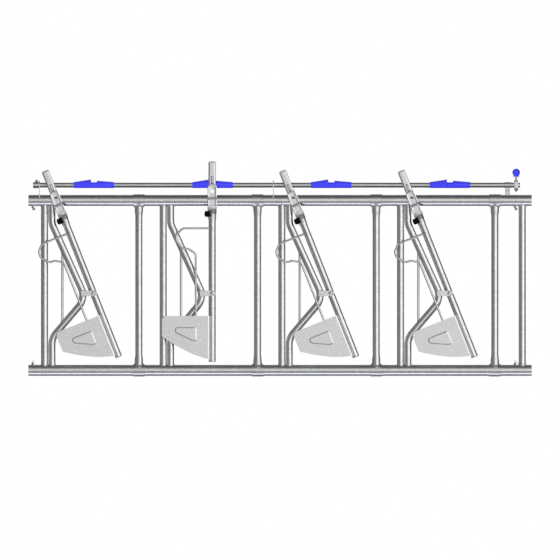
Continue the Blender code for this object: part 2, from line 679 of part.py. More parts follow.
def make_gate_tube():
    """The gate's tube, drilled for the pivot bolt and the fork's bolt."""
    route = [Vector((0, GATE_TUBE_BOTTOM)), Vector((0, FORK_BASE - FORK_BASE_THICK - GAP))]
    body = tube(route, TUBE_RADIUS, TUBE_WALL, TUBE_SIDES)
    reach = 2 * TUBE_RADIUS
    pivot = cylinder("Y", (0, 0, 0), PIVOT_BOLT_RADIUS + TURN_GAP, -reach, reach, TUBE_SIDES)
    bolt = cylinder("Y", (0, 0, fork_bolt_height()), FORK_BOLT_RADIUS + GAP, -reach, reach, SMALL_SIDES)
    return cut(body, pivot, bolt)


def fork_bolt_height():
    return SLEEVE_BOTTOM + FORK_BOLT_RISE


def make_fork():
    """A folded strap over the rail and the bar, on a sleeve that fits the gate's tube."""
    crease = RAIL_HEIGHT + FORK_CREASE_ABOVE_RAIL
    top = BAR_HEIGHT + FORK_TOP_ABOVE_BAR
    foot = FORK_BASE - FORK_BASE_THICK / 2
    sheet = FORK_SHEET
    outside = FORK_INSIDE + sheet
    half_outline = [
        (FORK_FOOT_HALF, foot), (FORK_FOOT_HALF + sheet, foot), (outside, crease),
        (outside, top - FORK_BEND), (outside - FORK_BEND, top),
    ]
    inner_half = [(-FORK_INSIDE, top - sheet), (-FORK_INSIDE, crease)]
    outline = half_outline + [(-y, z) for y, z in reversed(half_outline)]
    outline += inner_half[::-1] + [(-y, z) for y, z in inner_half]
    width = FORK_LOWER_HALF_WIDTH
    strap = prism("YZ", outline, -width, width)

    base = box((-width, -FORK_FOOT_HALF - sheet, FORK_BASE - FORK_BASE_THICK),
               (width, FORK_FOOT_HALF + sheet, FORK_BASE))
    collar = cylinder("Z", (0, 0, 0), COLLAR_RADIUS, COLLAR_BOTTOM, FORK_BASE - GAP, RAIL_SIDES)
    sleeve = cylinder("Z", (0, 0, 0), SLEEVE_RADIUS, SLEEVE_BOTTOM, COLLAR_BOTTOM + SLEEVE_WALL, RAIL_SIDES)
    bore = cylinder("Z", (0, 0, 0), TUBE_RADIUS + GAP, SLEEVE_BOTTOM - SLEEVE_WALL,
                    FORK_BASE - FORK_BASE_THICK, TUBE_SIDES)
    bolt = cylinder("Y", (0, 0, fork_bolt_height()), FORK_BOLT_RADIUS + GAP,
                    -outside, outside, SMALL_SIDES)

    shoulder_top = BAR_HEIGHT - FORK_BEND / 4
    narrow = FORK_UPPER_HALF_WIDTH
    beyond = 2 * outside
    notches = [
        prism("XZ", [
            (side * 2 * width, shoulder_top - FORK_SHOULDER), (side * width, shoulder_top - FORK_SHOULDER),
            (side * narrow, shoulder_top), (side * narrow, 2 * top), (side * 2 * width, 2 * top),
        ], -beyond, beyond)
        for side in (-1, 1)
    ]
    hole_height = (RAIL_HEIGHT + RAIL_RADIUS + BAR_HEIGHT - BAR_RADIUS) / 2
    lock_hole = cylinder("Y", (0, 0, hole_height), LOCK_HOLE_RADIUS, -beyond, beyond, TUBE_SIDES)
    slot_low = BAR_HEIGHT + SLOT_BOTTOM_ABOVE_BAR + SLOT_HALF_WIDTH
    slot_high = BAR_HEIGHT + SLOT_TOP_ABOVE_BAR - SLOT_HALF_WIDTH
    slot_outline = arc((0, slot_high), SLOT_HALF_WIDTH, 0, 180, 6)
    slot_outline += arc((0, slot_low), SLOT_HALF_WIDTH, 180, 360, 6)
    slot = prism("XZ", slot_outline, -beyond, 0)
    body = fuse(strap, base, collar, sleeve)
    return cut(body, bore, bolt, *notches, lock_hole, slot)


def make_tooth():
    """A block behind the fork's front cheek, with a headed stud through the slot."""
    front = FORK_INSIDE - SLIDE_GAP
    half = TOOTH_HEIGHT / 2
    block = box((-TOOTH_HALF_WIDTH, -front, TOOTH_UP - half),
                (TOOTH_HALF_WIDTH, -TOOTH_BACK, TOOTH_UP + half))
    face = FORK_INSIDE + FORK_SHEET + SLIDE_GAP
    stud = cylinder("Y", (0, 0, TOOTH_UP), STUD_IN_SLOT, -face - GAP, -front + GAP, TUBE_SIDES)
    head = cylinder("Y", (0, 0, TOOTH_UP), TOOTH_HEAD_RADIUS, -face - TOOTH_HEAD_THICK, -face, TUBE_SIDES)
    return fuse(block, stud, head)


def make_buffer():
    """A rubber block with rounded corners, hollowed to the collar that it sits against."""
    corner = BUFFER_HEIGHT / 4
    left, right, bottom, top = BUFFER_LEFT, BUFFER_RIGHT, BUFFER_BOTTOM, BUFFER_TOP
    outline = [
        (left + corner, bottom), (right, bottom), (right, top), (left + corner, top),
        (left, top - corner), (left, bottom + corner),
    ]
    block = prism("XZ", outline, -BUFFER_FRONT, BUFFER_REAR)
    seat = cylinder("Z", (0, 0, 0), COLLAR_RADIUS + GAP, bottom - corner, top + corner, RAIL_SIDES)
    return cut(block, seat)


def above_foot(points):
    """Points given from the gate tube's lower end, measured from the pivot instead."""
    return [(x, GATE_TUBE_BOTTOM + height) for x, height in points]


def emboss_outline(shrink):
    """The raised triangle, smaller by an amount on all sides."""
    corners = ((EMBOSS_TIP, EMBOSS_TIP_RADIUS, 115, 245), (EMBOSS_LOWER, EMBOSS_CORNER_RADIUS, 245, 360),
               (EMBOSS_UPPER, EMBOSS_CORNER_RADIUS, 0, 90))
    outline = []
    for centre, radius, first, last in corners:
        outline += arc(centre, max(radius - shrink, GAP), first, last, 4)
    return above_foot(outline)


def emboss_block(grow, back, front):
    """The pressed form between two depths, sloping in towards the front."""
    sections = []
    for depth, shrink in ((back, -grow), (front, EMBOSS_SLOPE - grow)):
        sections.append([Vector((x, depth, z)) for x, z in emboss_outline(shrink)])
    return loft(sections)


def make_guard():
    """A loop of rod welded to a pressed sheet, which steps back to a flange on the gate's tube."""
    corners = [(x, SLEEVE_BOTTOM - depth) for x, depth in ROD_LOOP]
    corners += above_foot([(ROD_X, PLATE_TOP - ROD_LAP)])
    loop = rod(rounded(corners, ROD_BEND_RADIUS), ROD_Y, ROD_RADIUS, ROD_SIDES)
    half = PLATE_THICK / 2
    step = (PLATE_MIDDLE - FLANGE_MIDDLE) / (PLATE_FOLD_X - FLANGE_LEFT)
    lean = half * math.sqrt(1 + step ** 2) - half * step
    section = [
        (2 * PLATE_LEFT, PLATE_MIDDLE - half), (PLATE_FOLD_X + lean / 2, PLATE_MIDDLE - half),
        (FLANGE_LEFT + lean / 2, FLANGE_MIDDLE - half), (2 * TUBE_RADIUS, FLANGE_MIDDLE - half),
        (2 * TUBE_RADIUS, FLANGE_MIDDLE + half), (FLANGE_LEFT - lean / 2, FLANGE_MIDDLE + half),
        (PLATE_FOLD_X - lean / 2, PLATE_MIDDLE + half), (2 * PLATE_LEFT, PLATE_MIDDLE + half),
    ]
    sheet = prism("XY", section, GATE_TUBE_BOTTOM, GATE_TUBE_BOTTOM + 2 * PLATE_TOP)
    outline = above_foot([
        (PLATE_TOP_CORNER, PLATE_TOP), (TAB_RIGHT, PLATE_TOP), (TAB_RIGHT, PLATE_TOP - UPPER_TAB_HEIGHT),
        (FLANGE_RIGHT, PLATE_TOP - UPPER_TAB_HEIGHT), (FLANGE_RIGHT, LOWER_TAB_TOP),
        (TAB_RIGHT, LOWER_TAB_TOP), (TAB_RIGHT, LOWER_TAB_BOTTOM), (FLANGE_LEFT, LOWER_TAB_BOTTOM),
        *PLATE_EDGE, (PLATE_LEFT, PLATE_LEFT_BOTTOM), (PLATE_LEFT, PLATE_LEFT_TOP),
    ])
    blank = prism("XZ", outline, 2 * PLATE_MIDDLE, 0)
    plate = combine(sheet, [blank], "INTERSECT")
    face = PLATE_MIDDLE - half
    back = PLATE_MIDDLE + half
    raised = emboss_block(0, face + half, face - EMBOSS_DEPTH)
    hollow = emboss_block(-PLATE_THICK, back + GAP, back - EMBOSS_DEPTH)
    return fuse(cut(fuse(plate, raised), hollow), loop)


def make_gates(steel, sheet, zinc, rubber):
    """Four swinging gates with their forks, teeth, rubber stops and guards."""
    shapes = {
        "gate_tube": (make_gate_tube(), steel),
        "latch_fork": (make_fork(), sheet),
        "latch_tooth": (make_tooth(), zinc),
        "stop_buffer": (make_buffer(), rubber),
        "neck_guard": (make_guard(), sheet),
    }
    for place in range(1, PLACES + 1):
        lean = 0.0 if place == CLOSED_PLACE else -OPEN_ANGLE
        axis = add_axis(f"gate_{place}_axis", (pivot_x(place), 0, PIVOT_HEIGHT), lean)
        for name, (mesh, material) in shapes.items():
            add_piece(f"{name}_{place}", mesh.copy(), material, parent=axis)


def main():
    clear_scene()
    steel = make_material("galvanised_tube", (0.56, 0.57, 0.58), 0.35, 1.0)
    cast = make_material("galvanised_casting", (0.50, 0.51, 0.52), 0.45, 1.0)
    sheet = make_material("pressed_sheet", (0.66, 0.67, 0.67), 0.45, 0.9)
    zinc = make_material("plated_fastener", (0.60, 0.60, 0.62), 0.30, 1.0)
    blue = make_material("blue_plastic", (0.05, 0.05, 0.85), 0.35, 0.0)
    rubber = make_material("black_rubber", (0.01, 0.01, 0.01), 0.80, 0.0)
    make_rails(steel)
    make_posts(steel)
    make_sockets(cast)
    make_necks(steel)
    make_pivot_bolts(zinc)
    make_bearings(sheet, cast)
    make_release_bar(steel, zinc, blue)
    make_gates(steel, sheet, zinc, rubber)


main()
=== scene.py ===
"""Looks of a self-locking cattle headlock panel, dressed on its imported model.

Everything is in metres. +X runs along the rails, the feeding side faces -Y. A gate's own
pieces are shaped upright about its pivot, then leaned and moved to their place.
"""
import json
import math

import bmesh
import bpy
from mathutils import Matrix, Vector


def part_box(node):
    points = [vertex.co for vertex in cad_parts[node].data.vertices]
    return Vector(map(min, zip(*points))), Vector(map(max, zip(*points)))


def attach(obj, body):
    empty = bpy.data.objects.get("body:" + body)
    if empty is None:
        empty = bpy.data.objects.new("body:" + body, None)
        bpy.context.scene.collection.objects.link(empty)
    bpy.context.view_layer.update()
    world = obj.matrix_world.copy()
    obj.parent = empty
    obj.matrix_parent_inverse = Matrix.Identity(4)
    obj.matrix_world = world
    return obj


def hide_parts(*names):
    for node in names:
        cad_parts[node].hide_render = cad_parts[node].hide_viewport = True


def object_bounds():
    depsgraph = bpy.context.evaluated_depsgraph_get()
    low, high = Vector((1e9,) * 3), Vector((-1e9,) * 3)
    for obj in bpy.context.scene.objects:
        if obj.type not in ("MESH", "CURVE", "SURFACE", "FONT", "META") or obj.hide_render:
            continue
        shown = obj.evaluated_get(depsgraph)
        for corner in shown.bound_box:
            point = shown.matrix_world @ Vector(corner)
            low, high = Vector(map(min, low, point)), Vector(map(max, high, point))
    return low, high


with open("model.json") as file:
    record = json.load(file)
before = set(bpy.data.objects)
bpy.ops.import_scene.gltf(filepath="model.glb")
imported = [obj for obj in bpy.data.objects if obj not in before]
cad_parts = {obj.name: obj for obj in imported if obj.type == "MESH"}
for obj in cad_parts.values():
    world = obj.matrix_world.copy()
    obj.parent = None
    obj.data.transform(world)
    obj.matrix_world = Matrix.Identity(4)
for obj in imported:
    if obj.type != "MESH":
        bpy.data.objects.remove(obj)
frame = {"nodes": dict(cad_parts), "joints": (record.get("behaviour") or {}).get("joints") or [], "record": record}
CAD_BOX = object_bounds()

bl_info = {
    "name": "Cattle headlock panel",
    "version": (1, 0, 0),
    "blender": (4, 5, 0),
    "location": "3D View > Sidebar > Headlock",
    "description": "Dresses a feed barrier panel of four self-locking headlocks",
    "category": "Object",
}

JOINTS = {joint["name"]: joint for joint in frame["joints"]}
PLACES = range(1, 5)
RAIL_LOW, RAIL_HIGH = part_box("top_rail")
BAR_Z = JOINTS["release_bar_turn"]["pos_m"][2]
TRIM = 0.0003       # between two pieces that touch
PLAY = 0.0004       # round a bolt or a bar that turns
STRAP = 0.0030      # sheet of the fork's channel
FOOT_WALL = 0.0045  # from the inside of the fork's foot to the base plate's edge
FRONT = Vector((0, -1, 0))
FINISHES = {}


def metres(name, description, default):
    """A length that a user may change."""
    return bpy.props.FloatProperty(
        name=name, description=description, default=default, unit="LENGTH", precision=4)


def colour(name, description, *default):
    """A finish's colour that a user may change."""
    return bpy.props.FloatVectorProperty(
        name=name, description=description, default=default, size=3, min=0.0, max=1.0, subtype="COLOR")


def share(name, description, default):
    """A number from 0 to 1 that a user may change."""
    return bpy.props.FloatProperty(
        name=name, description=description, default=default, min=0.0, max=1.0, subtype="FACTOR")


class FrameSizes(bpy.types.PropertyGroup):
    """Sizes of the rails, posts, neck tubes and tees."""
    rail_radius: metres("Rail radius", "Outside radius of both rails", RAIL_HIGH.y)
    rail_wall: metres("Rail wall", "Wall of both rails", 0.0035)
    rail_spacing: metres("Rail spacing", "Between the rails' axes", RAIL_HIGH.z - RAIL_HIGH.y)
    tube_radius: metres("Tube radius", "Outside radius of posts, neck tubes and gates", 0.0212)
    tube_wall: metres("Tube wall", "Wall of posts and neck tubes", 0.0026)
    neck_x: metres("Neck end", "Upright ends of a neck tube, from the pivot", -0.2479)
    neck_upper: metres("Upper bend", "Neck tube's upper bend above the pivot", 0.4154)
    neck_lower: metres("Lower bend", "Neck tube's lower bend above the pivot", -0.2676)
    neck_point_x: metres("Neck point", "Neck tube's middle bend, from the pivot", -0.0459)
    neck_point_z: metres("Neck point height", "Middle bend above the pivot", -0.0298)
    neck_bend: metres("Bend radius", "Radius of the neck tube's bends", 0.105)
    filler_radius: metres("Filler radius", "Radius of the rod across the bend", 0.0072)
    filler_x: metres("Filler place", "Filler rod's axis, from the pivot", -0.1854)
    plate_left: metres("Plate left", "Left end of a pivot plate, from the pivot", -0.0724)
    plate_half: metres("Plate half height", "Half the height of a pivot plate", 0.016)
    plate_thick: metres("Plate thickness", "Thickness of a pivot plate", 0.005)
    tee_half: metres("Tee half width", "Half the width of a tee's ring", 0.0345)
    tee_wall: metres("Tee wall", "Wall of a tee", 0.0035)
    tee_reach: metres("Tee reach", "From the rail's axis to the collar's end", 0.088)
    weld_size: metres("Weld size", "Radius of a weld's ripples", 0.0032)


class BarSizes(bpy.types.PropertyGroup):
    """Sizes of the release bar and what it carries."""
    radius: metres("Bar radius", "Outside radius of the release bar", 0.015)
    wall: metres("Bar wall", "Wall of the release bar", 0.003)
    bearing_half: metres("Bearing half width", "Half the width of a bearing plate", 0.0275)
    bearing_thick: metres("Bearing thickness", "Thickness of a bearing plate", 0.0055)
    catch_left: metres("Catch left end", "From the place's pivot", -0.1186)
    catch_right: metres("Catch right end", "From the place's pivot", 0.1234)
    catch_sleeve: metres("Catch sleeve", "Outside radius of a catch's sleeve", 0.0174)
    notch_left: metres("Notch left side", "From the place's pivot", -0.015)
    notch_right: metres("Notch right side", "From the place's pivot", 0.021)
    ramp_radius: metres("Ramp height", "Top of a catch's ramp above the bar's axis", 0.0345)
    heel_radius: metres("Heel height", "Top of a catch's heel above the bar's axis", 0.027)
    end_radius: metres("Catch end", "Radius of a catch at its ends", 0.0185)
    screw_x: metres("Catch screw", "A catch's screw, from the place's pivot", 0.060)
    knob_radius: metres("Knob radius", "Radius of the ball knob", 0.023)
    knob_centre: metres("Knob height", "Centre of the ball above the bar's axis", 0.0755)
    knob_base: metres("Knob base", "Foot of the knob above the bar's axis", 0.050)


class GateSizes(bpy.types.PropertyGroup):
    """Sizes of a swinging gate, as heights along its tube from the pivot."""
    tube_bottom: metres("Tube's lower end", "Height from the pivot", -0.409)
    base_top: metres("Fork base", "Top of the fork's base plate", 0.499)
    collar_bottom: metres("Collar's lower end", "Height from the pivot", 0.472)
    sleeve_bottom: metres("Sleeve's lower end", "Height from the pivot", 0.440)
    arch_top: metres("Arch top", "Top of the wide lower cheek", 0.654)
    fork_top: metres("Fork top", "Top of the folded channel", 0.7855)
    lower_half: metres("Lower half width", "Half the width of the lower cheeks", 0.0275)
    upper_half: metres("Upper half width", "Half the width of the channel", 0.0223)
    inside: metres("Fork inside", "Half the space between the cheeks", 0.040)
    foot_inside: metres("Foot inside", "Half the space at the base plate", 0.0203)
    hole_height: metres("Lock hole height", "Height from the pivot", 0.608)
    hole_radius: metres("Lock hole radius", "Radius of the hole for a locking pin", 0.011)
    slot_low: metres("Slot's lower end", "Height from the pivot", 0.6255)
    slot_high: metres("Slot's upper end", "Height from the pivot", 0.6994)
    slot_half: metres("Slot half width", "Half the width of the tooth's slot", 0.0068)
    key_length: metres("Key length", "Length of the tooth's key in the slot", 0.045)
    rib_height: metres("Rib height", "Middle of the rib across the lower cheeks", 0.5655)
    lean_height: metres("Lean height", "Where the lower cheeks start to lean in", 0.519)
    tooth_height: metres("Tooth height", "Height of the tooth drawn up in its slot", 0.6887)
    bolt_height: metres("Fork bolt height", "Height of the bolt through the sleeve", 0.458)
    rod_radius: metres("Rod radius", "Radius of the guard rod", 0.00625)
    rod_y: metres("Rod depth", "Guard rod's axis in front of the gate tube's", -0.0279)
    plate_y: metres("Plate face", "Front face of the guard plate", -0.03665)
    plate_thick: metres("Guard plate thickness", "Thickness of the guard plate", 0.003)


class Finishes(bpy.types.PropertyGroup):
    """Colours of the finishes."""
    galvanised: colour("Galvanised tube", "Satin hot-dip zinc on the tubes", 0.63, 0.63, 0.63)
    casting: colour("Galvanised casting", "Dull zinc on the cast tees", 0.61, 0.61, 0.61)
    # The collar tone is half the tubes' tone: painted shade under the forks' base plates, on a real rough, dull
    # zinc.
    collar: colour("Dull collar", "Darker zinc on the collars under the forks", 0.31, 0.31, 0.32)
    sheet: colour("Pressed sheet", "Pale zinc on plates and forks", 0.665, 0.665, 0.665)
    plated: colour("Plated fastener", "Bright zinc on bolts and nuts", 0.66, 0.66, 0.68)
    blue: colour("Blue plastic", "Moulded catches and knob", 0.055, 0.058, 0.98)
    rubber: colour("Black rubber", "Stops on the gates", 0.0015, 0.0015, 0.0015)
    spangle: share("Spangle", "How much the zinc's grains differ in tone", 0.10)


class StageSettings(bpy.types.PropertyGroup):
    """Camera, floor and light."""
    view_width: metres("View width", "Width that the camera takes in", 3.3376)
    view_height: metres("View height", "Height of the camera's axis", 0.5384)
    floor_colour: colour("Floor", "Pale floor", 0.86, 0.86, 0.86)
    # Painted shade: a strip that glows dark grey only in reflections and darkens the bar's underside and the upper
    # rail.
    shade_strip_height: metres("Flag height", "Dark strip that the bar and the upper rail reflect", 1.072)
    world_light: share("World light", "Strength of the even light from all round", 0.30)
    lamp_power: bpy.props.FloatProperty(
        name="Lamp power", description="Power of the soft lamp", default=392.0, min=0.0, unit="POWER")


# Shapes, each a new bmesh


def joined(*shapes):
    """Several shapes as one, with the parts used up."""
    whole = bmesh.new()
    for shape in shapes:
        part = bpy.data.meshes.new("part")
        shape.to_mesh(part)
        shape.free()
        whole.from_mesh(part)
        bpy.data.meshes.remove(part)
    return whole


def placed(shape, *matrices):
    """Move a shape by some matrices, the last one first."""
    whole = Matrix()
    for matrix in matrices:
        whole = whole @ matrix
    bmesh.ops.transform(shape, matrix=whole, verts=shape.verts)
    return shape


def shift(x=0.0, y=0.0, z=0.0):
    return Matrix.Translation((x, y, z))


def turn(degrees, axis):
    return Matrix.Rotation(math.radians(degrees), 4, axis)


def tidy(shape):
    """Merge doubled points and turn the faces outwards."""
    bmesh.ops.remove_doubles(shape, verts=shape.verts, dist=1e-6)
    bmesh.ops.recalc_face_normals(shape, faces=shape.faces)
    return shape


def reflected(shape):
    """A shape's twin, with its front turned to the back."""
    twin = placed(shape.copy(), Matrix.Diagonal((1, -1, 1, 1)))
    bmesh.ops.recalc_face_normals(twin, faces=twin.faces)
    return twin


def edges_in(items):
    return [item for item in items if isinstance(item, bmesh.types.BMEdge)]


def verts_in(items):
    return [item for item in items if isinstance(item, bmesh.types.BMVert)]


def edges_of(items):
    """Every edge of some points or faces, once."""
    return list({edge for item in items
                 for edge in (item.edges if isinstance(item, bmesh.types.BMFace) else item.link_edges)})


def turned(outline, steps, axis="Z"):
    """Spin an outline of distances along an axis and out from it into a round solid."""
    shape = bmesh.new()
    points = [shape.verts.new((out, 0, along)) for along, out in outline]
    lines = [shape.edges.new(pair) for pair in zip(points, points[1:])]
    if min(outline[0][1], outline[-1][1]) > 0:
        lines.append(shape.edges.new((points[-1], points[0])))
    bmesh.ops.spin(shape, geom=points + lines, cent=(0, 0, 0), axis=(0, 0, 1), dvec=(0, 0, 0),
                   angle=math.tau, steps=steps, use_merge=True)
    tidy(shape)
    return placed(shape, turn(90, "Y")) if axis == "X" else shape


def eased_ring(low, high, bore, out, ease, steps, axis="Z", top=None):
    """A round ring with eased outer edges, the upper one by another width if asked."""
    top = ease if top is None else top
    return turned([(low, bore), (high, bore), (high, out - top), (high - top, out), (low + ease, out),
                   (low, out - ease)], steps, axis)


def eased_tube(low, high, inner, outer, ease, steps):
    """A tube along X with eased ends."""
    return turned([(low, inner + ease), (low + ease, inner), (high - ease, inner), (high, inner + ease),
                   (high, outer - ease), (high - ease, outer), (low + ease, outer), (low, outer - ease)],
                  steps, "X")


def washer(radius, bore, thick):
    """A flat ring with eased edges, standing on Z = 0."""
    return eased_ring(0, thick, bore, radius, thick / 4, 32)


def plug(low, high, radius, steps):
    """A plain round cutter along Z."""
    return turned([(low, 0), (low, radius), (high, radius), (high, 0)], steps)


def arc(centre, radii, degrees):
    """Points of an arc in a profile, as distances along and out."""
    turns = [math.radians(angle) for angle in degrees]
    return [(centre[0] + radii[0] * math.sin(a), centre[1] + radii[1] * math.cos(a)) for a in turns]


def circle(count, radius=1.0):
    """Places round a circle, as pairs."""
    turns = [math.tau * i / count for i in range(count)]
    return [(radius * math.cos(a), radius * math.sin(a)) for a in turns]


def softened(shape, width, segments=2, least=30.0):
    """Round the edges that turn by more than some degrees."""
    sharp = [e for e in shape.edges if e.is_manifold and math.degrees(e.calc_face_angle()) > least]
    bmesh.ops.bevel(shape, geom=sharp, affect="EDGES", offset=width, segments=segments,
                    profile=0.5, material=-1, clamp_overlap=True)
    return shape


def sliced(shape, point, normal, **how):
    """Cut a shape's faces along a plane, returning the new edges."""
    everything = shape.verts[:] + shape.edges[:] + shape.faces[:]
    return edges_in(bmesh.ops.bisect_plane(shape, geom=everything, dist=1e-6, plane_co=point,
                                           plane_no=normal, **how)["geom_cut"])


def pushed(shape, edges, move):
    """Extrude a row of edges and move it, returning the new row."""
    grown = bmesh.ops.extrude_edge_only(shape, edges=edges)["geom"]
    bmesh.ops.translate(shape, vec=move, verts=verts_in(grown))
    return edges_in(grown)


def swung(shape, items, centre, axis, angle, steps):
    """Spin a row of edges or a face about a centre, returning the new row."""
    return edges_in(bmesh.ops.spin(shape, geom=items, cent=centre, axis=axis, dvec=(0, 0, 0), angle=angle,
                                   steps=steps, use_merge=False)["geom_last"])


def head(sides, across, height, bore=0.0, chamfer=0.0012):
    """A nut or bolt head standing on Z = 0: turned with its chamfers, then cut to its flats."""
    corner = across / 2 / math.cos(math.pi / sides)
    slope = chamfer * 0.55
    shape = turned([
        (0, bore), (0, corner - chamfer), (slope, corner), (height - slope, corner),
        (height, corner - chamfer), (height, bore),
    ], 48)
    for x, y in circle(sides):
        out = Vector((x, y, 0))
        bmesh.ops.holes_fill(shape, edges=sliced(shape, out * across / 2, out, clear_outer=True), sides=0)
    return tidy(shape)


def nut(across, height, bore, up, washer_sizes=None):
    """A six-sided nut at a height, with a washer under it if asked."""
    shape = placed(head(6, across, height, bore=bore), shift(z=up))
    return joined(washer(*washer_sizes), shape) if washer_sizes else shape


def screw(radius, start, end, pitch=0.0015):
    """A threaded shank along Z, with rounded ends."""
    root = radius - pitch * 0.45
    outline = [(start, 0), (start, root - pitch / 3), (start + pitch, root)]
    for i in range(max(1, int((end - start - 2 * pitch) / pitch))):
        low = start + pitch * (1 + i)
        outline += [(low + pitch * 0.45, radius), (low + pitch * 0.55, radius), (low + pitch, root)]
    return turned(outline + [(end, root - pitch / 3), (end, 0)], 24)


def dome_head(radius, height):
    """A low round screw head, standing on Z = 0."""
    return turned([(0, 0), (0, radius), (height * 0.25, radius), (height * 0.65, radius * 0.84),
                   (height * 0.93, radius * 0.52), (height, radius * 0.42), (height, 0)], 28)


def bar_along(corners, radius, sides, bend=0.0, steps=6, wall=0.0):
    """A round bar or tube through X and Z corners, each bent no wider than there is room for."""
    shape = bmesh.new()
    points = [Vector((x, 0, z)) for x, z in corners]
    runs = [after - before for before, after in zip(points, points[1:])]
    ways = [run.normalized() for run in runs]
    facing = ways[0].to_track_quat("Z", "Y").to_matrix().to_4x4()
    edges = edges_of(bmesh.ops.create_circle(shape, cap_ends=wall == 0, segments=sides, radius=radius,
                                             matrix=Matrix.Translation(points[0]) @ facing)["verts"])
    here = points[0]
    for number, corner in enumerate(points[1:-1]):
        way, onward = ways[number:number + 2]
        angle = way.angle(onward)
        slope = math.tan(angle / 2)
        reach = min(bend * slope, 0.49 * runs[number].length, 0.49 * runs[number + 1].length)
        start = corner - way * reach
        side = way.cross(onward).normalized()
        edges = pushed(shape, edges, start - here)
        edges = swung(shape, edges, start + side.cross(way) * (reach / slope), side, angle, steps)
        here = corner + onward * reach
    edges = pushed(shape, edges, points[-1] - here)
    if wall:
        bmesh.ops.recalc_face_normals(shape, faces=shape.faces)
        bmesh.ops.solidify(shape, geom=shape.faces[:], thickness=wall)
    else:
        bmesh.ops.holes_fill(shape, edges=edges, sides=0)
    return tidy(shape)


def saddle(y, radius):
    """Height of a rail's surface above its axis, off to its side."""
    return math.sqrt(max(radius ** 2 - y ** 2, 0))


def coped(shape, low, high, radius):
    """Fit the ends of an upright tube to the rails below and above."""
    for vert in shape.verts:
        if vert.co.z < low + radius:
            vert.co.z = low + saddle(vert.co.y, radius)
        elif vert.co.z > high - radius:
            vert.co.z = high - saddle(vert.co.y, radius)
    return shape


def weld(points, size):
    """A weld bead: overlapping ripples along a row of points."""
    bead = bmesh.new()
    points = [Vector(point) for point in points]
    for number, point in enumerate(points):
        swell = 1 + 0.12 * math.sin(2.4 * number)
        onward = points[min(number + 1, len(points) - 1)] - points[max(number - 1, 0)]
        along = onward.to_track_quat("Z", "Y").to_matrix().to_4x4()
        bmesh.ops.create_uvsphere(bead, u_segments=8, v_segments=6, radius=size * swell, matrix=(
            Matrix.Translation(point) @ along @ Matrix.Diagonal((0.92, 0.92, 1.6, 1))))
    return bead


def saddle_weld(x, z, side, sizes):
    """The bead round an upright tube's end, above (1) or below (-1) the axis of its rail."""
    count = max(12, int(math.tau * sizes.tube_radius / (sizes.weld_size * 1.25)))
    return weld([(x + out, y, z + side * saddle(y, sizes.rail_radius))
                 for out, y in circle(count, sizes.tube_radius)], sizes.weld_size)


def circle_at(shape, x, y, z, radius, segments=32, cap=False):
    """Add a circle that faces the front, returning its points."""
    return bmesh.ops.create_circle(shape, cap_ends=cap, segments=segments, radius=radius,
                                   matrix=shift(x, y, z) @ turn(90, "X"))["verts"]


def flat(outline, hole=None, steps=8, filled=True):
    """A flat face in the XZ plane. A corner is X, Z and its rounding. The hole is X, Z and its radius."""
    shape = bmesh.new()
    corners = [shape.verts.new((x, 0, z)) for x, z, _ in outline]
    shape.faces.new(corners)
    for rounding in sorted({rounding for _, _, rounding in outline if rounding}):
        round_these = [v for v, corner in zip(corners, outline) if corner[2] == rounding]
        bmesh.ops.bevel(shape, geom=round_these, affect="VERTICES", offset=rounding, segments=steps,
                        profile=0.5, material=-1)
    if hole or not filled:
        bmesh.ops.delete(shape, geom=shape.faces[:], context="FACES_ONLY")
    if hole:
        circle_at(shape, hole[0], 0, hole[1], hole[2])
        filled_in(shape, shape.edges[:])
    return shape


def filled_in(shape, edges):
    """Fill the space between some closed rows of edges."""
    bmesh.ops.triangle_fill(shape, edges=edges, use_beauty=True, use_dissolve=False)


def thickened(shape, thick, ease=0.0):
    """Give a flat face in the XZ plane its thickness towards +Y, and ease its edges."""
    grown = bmesh.ops.extrude_face_region(shape, geom=shape.faces[:], use_keep_orig=True)["geom"]
    bmesh.ops.translate(shape, vec=(0, thick, 0), verts=verts_in(grown))
    bmesh.ops.recalc_face_normals(shape, faces=shape.faces)
    return softened(shape, ease, 2, 60) if ease else shape


def dished(shape, steps):
    """Inset the large face and push it forward, step by step, returning what is left of it."""
    for grow, rise in steps:
        crown = [face for face in shape.faces if len(face.verts) > 4]
        bmesh.ops.inset_individual(shape, faces=crown, thickness=grow, use_even_offset=True)
        raised = list({vert for face in crown for vert in face.verts})
        bmesh.ops.translate(shape, vec=(0, -rise, 0), verts=raised)
    return [face for face in shape.faces if len(face.verts) > 4]


def walled(shape, thick, out):
    """Give an open skin its wall, after turning its faces the way that a function of a face says."""
    bmesh.ops.recalc_face_normals(shape, faces=shape.faces)
    if sum(face.normal.dot(out(face)) * face.calc_area() for face in shape.faces) < 0:
        bmesh.ops.reverse_faces(shape, faces=shape.faces[:])
    bmesh.ops.solidify(shape, geom=shape.faces[:], thickness=thick)
    return tidy(shape)


def block(low, high, ease):
    """A box with rounded edges."""
    shape = bmesh.new()
    low, high = Vector(low), Vector(high)
    bmesh.ops.create_cube(shape, size=1.0, matrix=(
        Matrix.Translation((low + high) / 2) @ Matrix.Diagonal((*(high - low), 1))))
    return softened(shape, ease, 3)


def linked(name, data):
    """A new object in the scene."""
    made = bpy.data.objects.new(name, data)
    bpy.context.scene.collection.objects.link(made)
    return made


def thing(name, shape):
    """A new object of a shape, which is used up."""
    mesh = bpy.data.meshes.new(name)
    shape.to_mesh(mesh)
    shape.free()
    return linked(name, mesh)


def cut_away(shape, *cutters):
    """A shape with others cut out of it."""
    body = thing("scratch", shape)
    for cutter in cutters:
        tool = thing("scratch", cutter)
        cut = body.modifiers.new("cut", "BOOLEAN")
        cut.operation, cut.solver, cut.object = "DIFFERENCE", "EXACT", tool
        graph = bpy.context.evaluated_depsgraph_get()
        old, result = body.data, bpy.data.meshes.new_from_object(body.evaluated_get(graph))
        body.modifiers.clear()
        body.data = result
        bpy.data.meshes.remove(old)
        bpy.data.objects.remove(tool)
    done = bmesh.new()
    done.from_mesh(body.data)
    bpy.data.objects.remove(body)
    return done


